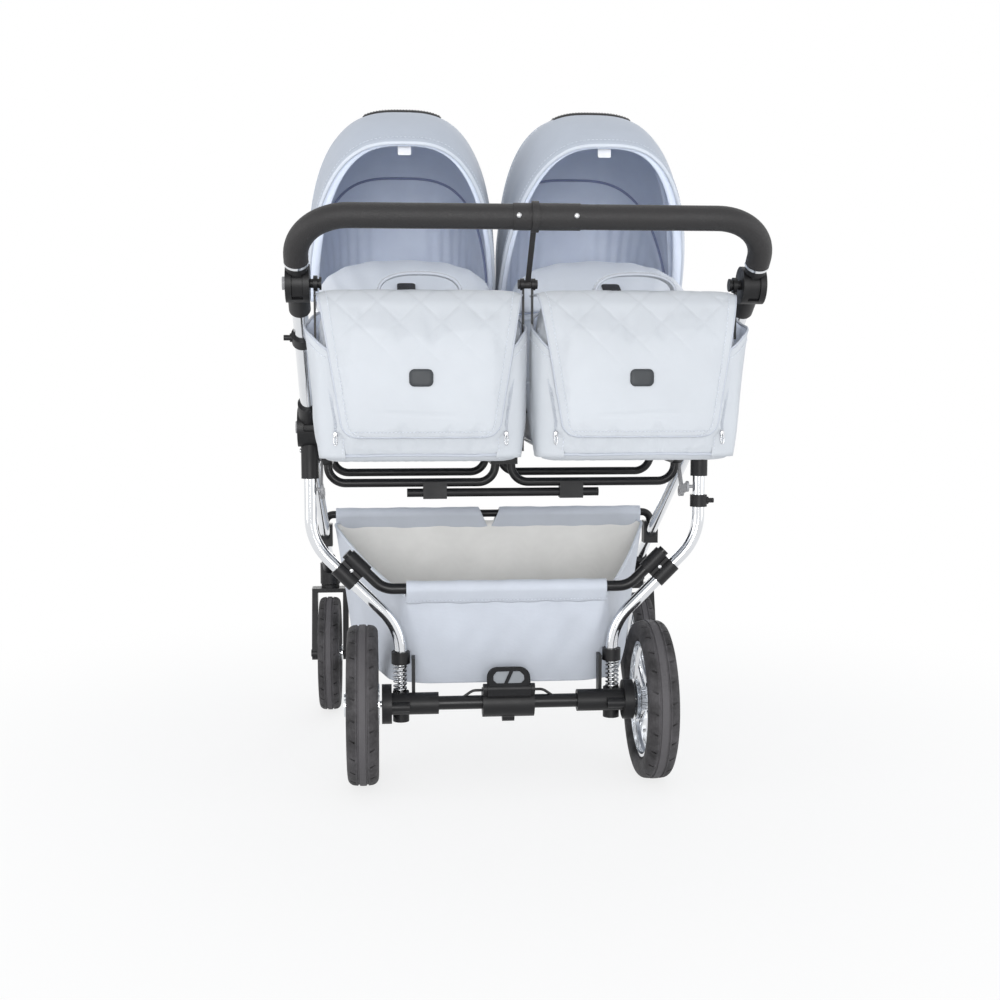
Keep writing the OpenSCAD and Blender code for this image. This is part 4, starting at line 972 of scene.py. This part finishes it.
def cot_ring(z, draw, turns):
    """Ring of the carrycot at the height z, drawn in by some metres."""
    w = mix(COT_BASE_W, COT_RIM_W, (z - COT_BASE_Z) / COT_H) - draw
    lean = 0.034 * (COT_RIM_Z - z) / COT_H
    x = COT_X + w * spow(np.cos(turns), ROUND_X)
    y = mix(COT_Y0 + lean + draw, COT_Y1 - lean - draw, (1 + spow(np.sin(turns), ROUND_Y)) / 2)
    return np.column_stack([x, y, np.full(len(turns), z)])


def build_cots():
    turns = around(160)
    outside = [(COT_BASE_Z, 0.060), (COT_BASE_Z, 0.012), (COT_BASE_Z + 0.004, 0.004)]
    outside += [(COT_BASE_Z + share * COT_H, 0.0) for share in np.linspace(0.05, 0.94, 24)]
    over = ((0.005, 0.0005), (0.0012, 0.0030), (0, 0.006), (0.0012, 0.0095), (0.005, 0.0118))
    rim = [(COT_RIM_Z - down, draw) for down, draw in over]
    inside = [(COT_BASE_Z + share * COT_H, COT_WALL) for share in np.linspace(0.94, 0.09, 20)]
    inside += [(COT_BASE_Z + 0.0135, COT_WALL + 0.006), (COT_BASE_Z + 0.012, 0.060)]
    rings = []
    for k, (z, draw) in enumerate(outside + rim + inside):
        share = (z - COT_BASE_Z) / COT_H
        wave = 0.0
        if 2 < k < len(outside):
            wave = 0.0011 * np.sin(turns * 23 + 2.2 * share) * smooth(share * 3) * smooth((1 - share) * 4)
            wave = wave + 0.0012 * np.sin(math.pi * share * 2.0) ** 2
        rings.append(cot_ring(z, draw + wave, turns))
    tub = cup("cot_tub", rings, len(outside) + 2, [BODY_CLOTH, LINING])
    for p in pair(tub, "cot", replaces=("cot",)).values():
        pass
    for name, z, r in (("rim", COT_RIM_Z - 0.010, 0.0030), ("mid", mix(COT_BASE_Z, COT_RIM_Z, 0.5), 0.0020),
                       ("base", COT_BASE_Z + 0.012, 0.0026)):
        path = resample(cot_ring(z, -0.0002, turns), 0.006, True)
        pair(tube(f"cot_piping_{name}", path, r, PIPING, closed=True), "cot")
    for name, z in (("rim", COT_RIM_Z - 0.020), ("base", COT_BASE_Z + 0.020)):
        path = resample(cot_ring(z, 0.0, turns), 0.006, True)
        pair(stitches(f"cot_stitch_{name}", path, THREAD, 0.0075, 0.005), "cot")
    levels = [(0, 0.036), (0.006, 0.026), (0.020, 0.022), (0.032, 0.027), (0.037, 0.044), (0.041, 0.082)]
    rings = [cot_ring(COT_FLOOR_Z + up, draw, turns[::2]) for up, draw in levels]
    mattress = loft("cot_mattress", rings, MATTRESS_CLOTH)

    def held(p):
        return bell(p[:, 2] - COT_FLOOR_Z, 0.006)

    plump(mattress, voxel=0.0075, pressure=3.0, cap=0.006, held=held, slack=0.02)
    for p in pair(mattress, "cot").values():
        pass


def rim_half(y):
    """Half the cot's width at the rim, y metres from its foot end."""
    v = 2 * y / (COT_Y1 - COT_Y0) - 1
    return COT_RIM_W * np.abs(np.cos(np.arcsin(np.clip(spow(v, 1 / ROUND_Y), -1, 1)))) ** ROUND_X


def apron_points(v, a, k):
    """Points of the apron: v along it, a degrees across, k from 0 inside to 1 outside."""
    v, a, k = np.broadcast_arrays(v, a, k)
    y = APRON_Y + APRON_LEN * v
    w = rim_half(y) + 0.003
    h = APRON_FOOT_H + (APRON_H - APRON_FOOT_H) * smooth(np.minimum(1, 1.08 * v))
    x = COT_X + (w - (1 - k) * 0.0077) * spow(cosd(a), 0.8)
    z = COT_RIM_Z + 0.0003 + 0.003 * k + (h - (1 - k) * 0.011 - 0.003 * k) * np.abs(sind(a)) ** 0.62
    return np.stack([x, COT_Y0 + y, z], -1)


def build_aprons():
    v = np.linspace(0, 1, 60)[:, None]
    a = np.linspace(0, 180, 91)
    puff = 0.0030 * np.sin(math.pi * v) ** 0.6 * sind(a) ** 0.5
    tuck = 0.0028 * bell(v - APRON_FOLD, 0.018) * sind(a) ** 0.4
    ripple = 0.0011 * np.sin(a * 0.31 + 5 * v) * sind(a) ** 0.3
    outer, inner = apron_points(v, a, 1.0), apron_points(v, a, 0.0)
    outer[..., 2] += puff - tuck + ripple
    x, top = outer[0, :, 0], outer[0, :, 2]
    along = np.minimum(1, np.abs(x - COT_X) / COT_RIM_W) ** (1 / ROUND_X)
    rim_y = mix(COT_Y0, COT_Y1, (1 - np.sqrt(1 - along ** 2) ** ROUND_Y) / 2)
    foot, lining = [], []
    for t in (0.0, 0.2, 0.45, 0.7, 0.88):
        y = mix(np.minimum(rim_y, COT_Y0 + APRON_Y) - 0.0050, COT_Y0 + APRON_Y, t ** 3)
        foot.append(np.column_stack([x, y, mix(APRON_SKIRT_Z, top, t)]))
        lining.append(np.column_stack([x, y + 0.0035, mix(APRON_SKIRT_Z, inner[0, :, 2], t)]))
    outer, inner = np.concatenate([foot, outer]), np.concatenate([lining, inner])
    apron = thick_sheet("apron_pad", outer, inner, [BODY_CLOTH, LINING])
    for p in pair(finer(apron), "cot", replaces=("apron",)).values():
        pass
    across = np.linspace(0, 180, 121)
    edge = apron_points(1.0, across, 0.6) + (0, 0.0006, 0)
    pair(tube("apron_piping_head", edge, 0.0030, PIPING), "cot")
    for name, at, up in (("fold", APRON_FOLD, 0.0004), ("head", 0.955, 0.0006)):
        path = apron_points(at, across[3:-3], 1.0) + (0, 0, up)
        pair(stitches(f"apron_stitch_{name}", path, THREAD, lift=[0, 0, 0.0008]), "cot")
    centre = apron_points(0.30, 90.0, 1.0)
    ahead = apron_points(0.38, 90.0, 1.0) - centre
    slope = math.degrees(math.atan2(ahead[2], ahead[1]))
    tab = rounded_plate("apron_tab", 0.032, 0.042, 0.0030, 0.006, GRIP_LEATHER)
    tilt_x(tab, slope - 90, (0, 0, 0))
    pair(shift(tab, centre + (0, 0, 0.0026)), "cot")


build_cots()
build_aprons()


# Shopping basket

BASKET_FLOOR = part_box("basket")[0].z
REAR_Y, REAR_Z = (REAR_TUBE_LOW.y + REAR_TUBE_HIGH.y) / 2, 0.353
FRONT_Y, FRONT_Z = 0.332, 0.443
# Half widths and ends of the basket at its floor and at its top edge
BASKET_REAR_W, BASKET_BEND_W, BASKET_FRONT_W = (0.150, 0.184), (0.214, 0.190), (0.290, 0.328)
BASKET_REAR_Y, BASKET_FRONT_Y = (-0.052, REAR_Y), (0.310, FRONT_Y)
BASKET_BEND_LEN = (0.032, 0.014)
BASKET_CORNER = 0.014
BASKET_STEPS = (22, 8, 44, 6, 30)
BASKET_THICK = 0.0026
SLEEVE_R = 0.0137


def basket_ring(h, draw):
    """Ring of the basket's wall, h from its floor to its top edge."""
    y0, y1 = mix(*BASKET_REAR_Y, h) + draw, mix(*BASKET_FRONT_Y, h) - draw
    rear, bend, front = (mix(*w, h) - draw for w in (BASKET_REAR_W, BASKET_BEND_W, BASKET_FRONT_W))
    corners = np.array([
        (0, y0), (rear, y0), (bend, y0 + mix(*BASKET_BEND_LEN, h)),
        (front, y1 - BASKET_CORNER), (front - BASKET_CORNER, y1), (0, y1)])
    half = [mix(p, q, np.arange(n)[:, None] / n) for p, q, n in zip(corners, corners[1:], BASKET_STEPS)]
    half = np.concatenate(half + [corners[-1:]])
    ring = np.concatenate([half, half[-2:0:-1] * (-1, 1)])
    for _ in range(3):
        ring = (np.roll(ring, 1, 0) + 2 * ring + np.roll(ring, -1, 0)) / 4
    x, y = ring.T
    v = (y - y0) / (y1 - y0)
    sag = np.clip(4 * v * (1 - v), 0, 1)
    wall = math.sin(math.pi * min(1, h))
    wave = 0.0013 * np.sin(v * 21 + h * 7) * wall
    x = x - np.sign(x) * (0.004 * wall - 0.003) * sag + wave * sag * np.sign(x)
    y = y + (1 - sag) * wall * (0.0016 * np.sin(x * 47 + 4 * h) + 0.0010 * np.sin(x * 103 - 9 * h))
    top = mix(REAR_Z, FRONT_Z, v) - 0.0153 - 0.010 * sag
    return np.column_stack([x, y, mix(BASKET_FLOOR + draw, top, h)])


def basket_floor(share, draw):
    """Ring of the basket's sagging floor."""
    ring = basket_ring(0, draw)
    y = ring[:, 1]
    middle = np.array([0, (y.min() + y.max()) / 2])
    ring[:, :2] = middle + (ring[:, :2] - middle) * share
    ring[:, 2] -= 0.003 * (1 - share ** 2) - 0.0010 * np.sin(ring[:, 0] * 33) * (1 - share)
    return ring


def sleeve(name, middle, tail, places, swell, across):
    """Cloth round a basket tube and together at a seam below, its X given by across at each place."""
    a = np.linspace(-28, 208, 33)
    over = middle + SLEEVE_R * np.column_stack([cosd(a), sind(a)])
    shares = np.array([0.35, 0.7, 0.95])[:, None]
    end = middle + tail
    down = mix(over[-1], end - (0.0016, 0), shares)
    back = mix(over[0], end + (0.0016, 0), shares[::-1])
    section = np.concatenate([over, down, [end - (0, 0.0012)], back])
    outer, inner = [], []
    for at in places:
        for grid, scale in ((outer, 1 + swell(at) / SLEEVE_R), (inner, 0.84)):
            ring = middle + (section - middle) * scale
            grid.append(np.column_stack([across(at, ring[:, 1]), ring]))
    piece = thick_sheet(name, outer, inner, [BASKET_CLOTH, BASKET_LINING], True)
    return carried(piece, "frame")


def build_sleeves():
    def rear_swell(x):
        return 0.0004 * np.sin(x * 61) + 0.0003 * np.sin(x * 143 + 1)

    def front_swell(share):
        return 0.0004 * np.sin(share * 15) + 0.0003 * np.sin(share * 37)

    def front_x(share, z):
        near = mix(0.003, 0.023, np.clip((z - FRONT_Z + 0.030) / 0.044, 0, 1))
        return mix(near, 0.324, share)

    xs = np.linspace(-0.184, 0.184, 97)
    middle = np.array([REAR_Y, REAR_Z])
    rear = sleeve("basket_rear_sleeve", middle, (0.0012, -0.027), xs, rear_swell,
                  lambda x, z: np.full(len(z), x))
    seam = np.column_stack([xs, np.full(97, REAR_Y - 0.0040), np.full(97, REAR_Z - 0.0225)])
    row = stitches("basket_rear_stitch", seam, THREAD, 0.0066, 0.0043, 0.0006, lift=[0, -0.0012, 0])
    carried(row, "frame")
    middle = np.array([FRONT_Y, FRONT_Z])
    for side, s in SIDES.items():
        front = sleeve(f"{side}_basket_front_sleeve", middle, (-0.0012, -0.030), np.linspace(0, 1, 70),
                       front_swell, lambda share, z: s * front_x(share, z))


def build_basket():
    shares = (0.04, 0.2, 0.4, 0.6, 0.78, 0.9, 0.97, 0.995)
    levels = np.concatenate([[0.006, 0.018], np.linspace(0.035, 1, 30)])
    rings = [basket_floor(q, 0.0) for q in shares]
    rings += [basket_ring(h, 0.0) for h in levels]
    turn_over = len(rings)
    rings += [basket_ring(h, BASKET_THICK) for h in levels[::-1]]
    rings += [basket_floor(q, BASKET_THICK) for q in shares[::-1]]
    basket = carried(cup("basket_cloth", rings, turn_over, [BASKET_CLOTH, BASKET_LINING]), "frame")
    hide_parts("basket")
    top = basket_ring(1.0, BASKET_THICK / 2)
    on_side = (top[:, 1] > REAR_Y + 0.006) & (top[:, 1] < FRONT_Y - 0.004)
    parts = []
    for s in SIDES.values():
        line = top[on_side & (top[:, 0] * s > 0.1)]
        line = line[np.argsort(line[:, 1])]
        parts.append(tube_data(resample(line, 0.006), 0.0030))
    carried(several("basket_side_binding", parts, PIPING), "frame")
    build_sleeves()


build_basket()


# Rear springs

SPRING_TURNS, SPRING_R, WIRE_R = 7, 0.011, 0.0018
CLOSED_TURNS, CLOSED_PITCH = 0.8, 0.0031


def build_springs():
    turn = np.linspace(0, SPRING_TURNS, SPRING_TURNS * 28 + 1)
    share = np.clip((turn - CLOSED_TURNS) / (SPRING_TURNS - 2 * CLOSED_TURNS), 0, 1)
    last = np.clip(turn - (SPRING_TURNS - CLOSED_TURNS), 0, CLOSED_TURNS)
    closed = CLOSED_PITCH * (np.minimum(turn, CLOSED_TURNS) + last)
    low, high = SPRING_LOW.z + 0.0015, SPRING_HIGH.z - 0.0015
    z = low + closed + share * (high - low - closed[-1])
    y = (SPRING_LOW.y + SPRING_HIGH.y) / 2
    a = 2 * math.pi * turn
    parts = []
    for s in SIDES.values():
        x = s * (SPRING_HIGH.x - 0.0125)
        coil = np.column_stack([x + SPRING_R * np.cos(a), y + SPRING_R * np.sin(a), z])
        parts.append(tube_data(coil, WIRE_R, 10))
    springs = carried(several("spring_coils", parts, STEEL), "frame")
    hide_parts("rear_springs")
    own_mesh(springs)


build_springs()


# Small fixings and trim on the hard parts

GRIP_Y, GRIP_Z, GRIP_R = -0.538, 0.975, 0.0187
GRIP_SEAM_TURN = -72
GRIP_SEAMS_X = ((-0.262, -0.038), (0.072, 0.262))
RIVETS_X, RIVETS_Y = (-0.025, 0.059), GRIP_Y - 0.0192
HOUSING_SCREW = (-0.084, 0.606)
CLAMP_SIDE_SCREW = (FRONT_Y, 0.409)
CLAMP_REAR_SCREW = (0.2825, 0.3885)
PEDAL_LEAN = 55
HEAD_R = 0.0040
SCREW = ((1, -0.3), (1, 0.22), (0.92, 0.42), (0.72, 0.58), (0.52, 0.64))
SOCKET = ((1, 0.64), (0.98, 0.18), (0.3, 0.16))
RIVET = ((1, -0.3), (1, 0.15), (0.96, 0.34), (0.82, 0.56), (0.58, 0.72), (0.28, 0.8), (0.05, 0.82))


def turned(at, out, rings):
    """Points and faces of a small round head; rings are its radii and heights, as shares of its size."""
    a = np.cross(out, [0, 0, 1.0])
    b = np.cross(out, a)
    turns = around(24)
    verts = []
    for r, h in rings:
        x, y = r * np.cos(turns), r * np.sin(turns)
        verts.append(at + HEAD_R * (out * h + np.outer(x, a) + np.outer(y, b)))
    return np.concatenate(verts), capped_faces(len(rings), 24)


def screws(name, node, places):
    """Screw heads with six-sided sockets where lines meet a hard part; places are (start, direction)."""
    hexagon = 0.46 / np.cos((around(24) + math.pi / 6) % (math.pi / 3) - math.pi / 6)
    rings = list(SCREW) + [(hexagon * r, h) for r, h in SOCKET]
    tree = tree_of(NODES[node])
    parts = []
    for start, direction in places:
        hit, _, _, _ = tree.ray_cast(Vector(start), Vector(direction))
        parts.append(turned(np.array(hit), -np.array(direction, float), rings))
    carried(several(name, parts, STEEL), "frame")


def polar(corners, middle, turns):
    """Where lines from a middle point meet a closed outline."""
    p = np.asarray(corners, float) - middle
    e = np.roll(p, -1, 0) - p
    d = np.column_stack([np.cos(turns), np.sin(turns)])
    dx, dy = d[:, :1], d[:, 1:]
    den = dx * e[:, 1] - dy * e[:, 0]
    den = np.where(np.abs(den) > 1e-9, den, np.inf)
    r = (p[:, 0] * e[:, 1] - p[:, 1] * e[:, 0]) / den
    k = (p[:, 0] * dy - p[:, 1] * dx) / den
    far = np.where((r > 0) & (k >= -1e-9) & (k <= 1 + 1e-9), r, 0).max(1)
    return middle + d * far[:, None]


def build_pedal_frame():
    """Raised rim round the pedal's tread pads with a slanted bar between them, drawn in millimetres."""
    at = np.array(JOINTS["brake_pedal_tilt"]["pos_m"])
    s, c = sind(PEDAL_LEAN), cosd(PEDAL_LEAN)
    axes = np.array([(1, 0, 0), (0, c, s), (0, -s, c)])

    def placed(points, z):
        return at + np.column_stack([points, np.full(len(points), z)]) @ axes / 1000

    middle = np.array([0, 19])
    rim = [(-37, 1), (37, 1), (38, 20)]
    rim += [(19 + 19 * math.cos(k), 20 + 18.5 * math.sin(k)) for k in np.linspace(0, math.pi / 2, 9)[1:]]
    rim += [(-x, y) for x, y in rim[:2:-1]] + [(-38, 20)]
    hole = [(-22, 7), (22, 7), (28, 13), (28, 22), (21, 30), (-21, 30), (-28, 22), (-28, 13)]
    outer, inner = (polar(outline, middle, around(120)) for outline in (rim, hole))
    rings = []
    for outline, grow, z in ((outer, 0, 4.4), (outer, 0, 7.4), (outer, -1.0, 8.4),
                             (inner, 1.0, 8.4), (inner, 0, 7.4), (inner, 0, 4.4)):
        away = outline - middle
        away /= np.linalg.norm(away, axis=1)[:, None]
        rings.append(placed(outline + away * grow, z))
    bar = [(-9.5, 6), (-2.5, 6), (9.5, 31), (2.5, 31)]
    ends = [placed(bar, z) for z in (4.4, 7.8)]
    parts = [(np.concatenate(rings), joined_faces(6, 120)), (np.concatenate(ends), capped_faces(2, 4))]
    carried(several("pedal_rim", parts, BLACK_PLASTIC, False), "brake_pedal")


def build_fixings():
    y, z = GRIP_Y - GRIP_R * cosd(GRIP_SEAM_TURN), GRIP_Z + GRIP_R * sind(GRIP_SEAM_TURN)
    for k, (low, high) in enumerate(GRIP_SEAMS_X):
        line = [(x, y, z) for x in np.linspace(low, high, 40)]
        lift = [0, -0.0003, -0.0008]
        row = stitches(f"grip_stitch_{k}", line, DARK_THREAD, 0.0062, 0.0042, 0.0006, lift)
        carried(row, "handle")
    rivets = [turned(np.array([x, RIVETS_Y, GRIP_Z]), PUSHER_SIDE, RIVET) for x in RIVETS_X]
    carried(several("grip_rivets", rivets, STEEL), "handle")
    housing_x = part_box("hinge_housings")[1].x + 0.02
    clamp_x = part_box("basket_clamps")[1].x + 0.02
    for side, s in SIDES.items():
        inward = (-s, 0, 0)
        screws(f"{side}_housing_screws", "hinge_housings", [((s * housing_x, *HOUSING_SCREW), inward)])
        x, z = CLAMP_REAR_SCREW
        screws(f"{side}_clamp_screws", "basket_clamps",
               [((s * clamp_x, *CLAMP_SIDE_SCREW), inward), ((s * x, -0.2, z), (0, 1, 0))])
    build_pedal_frame()


build_fixings()


# Floor, light and camera

WHITE = (1.0, 1.0, 1.0, 1.0)
FLOOR_R = 12
# Name, place, aim, size in metres, power in watts and colour of each lamp
LAMPS = (
    ("front", (-0.4, -7.6, 1.5), (0, 0, 0.9), 3.2, 304, (1, 1, 1)),
    ("left", (-2.6, -1.2, 1.1), (0, 0, 0.8), 2.2, 22, (1.0, 0.99, 0.98)),
    ("right", (2.6, -1.2, 1.1), (0, 0, 0.8), 2.2, 18, (0.98, 0.99, 1.0)),
    ("top", (0.1, 0.3, 3.4), (0, 0, 0.6), 3.0, 8, (1, 1, 1)),
    ("rear", (0.5, 4.2, 1.5), (0, 0, 0.8), 2.6, 44, (1, 1, 1)),
)
CAMERA_AT = (-0.2215, -2.538, 0.767)
CAMERA_DOWN, CAMERA_TURN = 5.87, -4.87
CAMERA_LENS, CAMERA_SENSOR = 48.92, 36


def build_world():
    """Soft light from all round, with plain white where it is seen."""
    world = bpy.data.worlds.new("studio")
    bpy.context.scene.world = world
    world.use_nodes = True
    g = Graph(world.node_tree)
    g.tree.nodes.clear()
    rays = g.node("LightPath").outputs
    seen = g.math("MAXIMUM", rays["Is Glossy Ray"], rays["Is Transmission Ray"])
    seen = g.math("MAXIMUM", rays["Is Camera Ray"], seen)
    ambient = g.node("Background", {"Color": (0.93, 0.96, 1.0, 1.0), "Strength": 0.64}).outputs[0]
    white = g.node("Background", {"Color": WHITE, "Strength": 1.0}).outputs[0]
    mixed = g.node("MixShader", {0: seen, 1: ambient, 2: white}).outputs[0]
    g.node("OutputWorld", {"Surface": mixed})


def build_floor():
    """Round floor that shows the shadow under the pram and fades to plain white round it."""
    verts = [(FLOOR_R * math.cos(a), FLOOR_R * math.sin(a), 0) for a in around(96)]
    material = bpy.data.materials.new("studio_floor")
    floor = make("studio_floor", verts, [tuple(range(96))], material)
    material.use_nodes = True
    g = Graph(material.node_tree)
    g.tree.nodes.clear()
    coords = g.node("TexCoord").outputs["Object"]
    far = g.node("VectorMath", {0: coords}, operation="LENGTH").outputs["Value"]
    limits = {"Value": far, "From Min": 0.5, "From Max": 1.7, "To Min": 0.78}
    fade = g.node("MapRange", limits, interpolation_type="SMOOTHSTEP").outputs["Result"]
    rays = g.node("LightPath").outputs
    seen = g.math("MAXIMUM", rays["Is Camera Ray"], rays["Is Glossy Ray"])
    paint = g.node("BsdfDiffuse", {"Color": (0.86, 0.86, 0.86, 1.0)}).outputs[0]
    glow = g.node("Emission", {"Color": WHITE, "Strength": 1.0}).outputs[0]
    mixed = g.node("MixShader", {0: g.math("MULTIPLY", seen, fade), 1: paint, 2: glow}).outputs[0]
    g.node("OutputMaterial", {"Surface": mixed})


def build_lamps():
    for name, at, aim, size, power, colour in LAMPS:
        light = bpy.data.lights.new(name, "AREA")
        light.shape = "DISK"
        light.size = size
        light.energy = power
        light.color = colour
        lamp = bpy.data.objects.new(name, light)
        bpy.context.scene.collection.objects.link(lamp)
        lamp.location = at
        lamp.rotation_euler = (Vector(aim) - Vector(at)).to_track_quat("-Z", "Y").to_euler()
        lamp.visible_camera = False


def build_camera():
    scene = bpy.context.scene
    lens = bpy.data.cameras.new("camera")
    lens.lens = CAMERA_LENS
    lens.sensor_width = CAMERA_SENSOR
    camera = bpy.data.objects.new("camera", lens)
    scene.collection.objects.link(camera)
    camera.location = CAMERA_AT
    camera.rotation_euler = (math.radians(90 - CAMERA_DOWN), 0, math.radians(CAMERA_TURN))
    scene.camera = camera
    scene.view_settings.view_transform = "Standard"


build_world()
build_floor()
build_lamps()
build_camera()
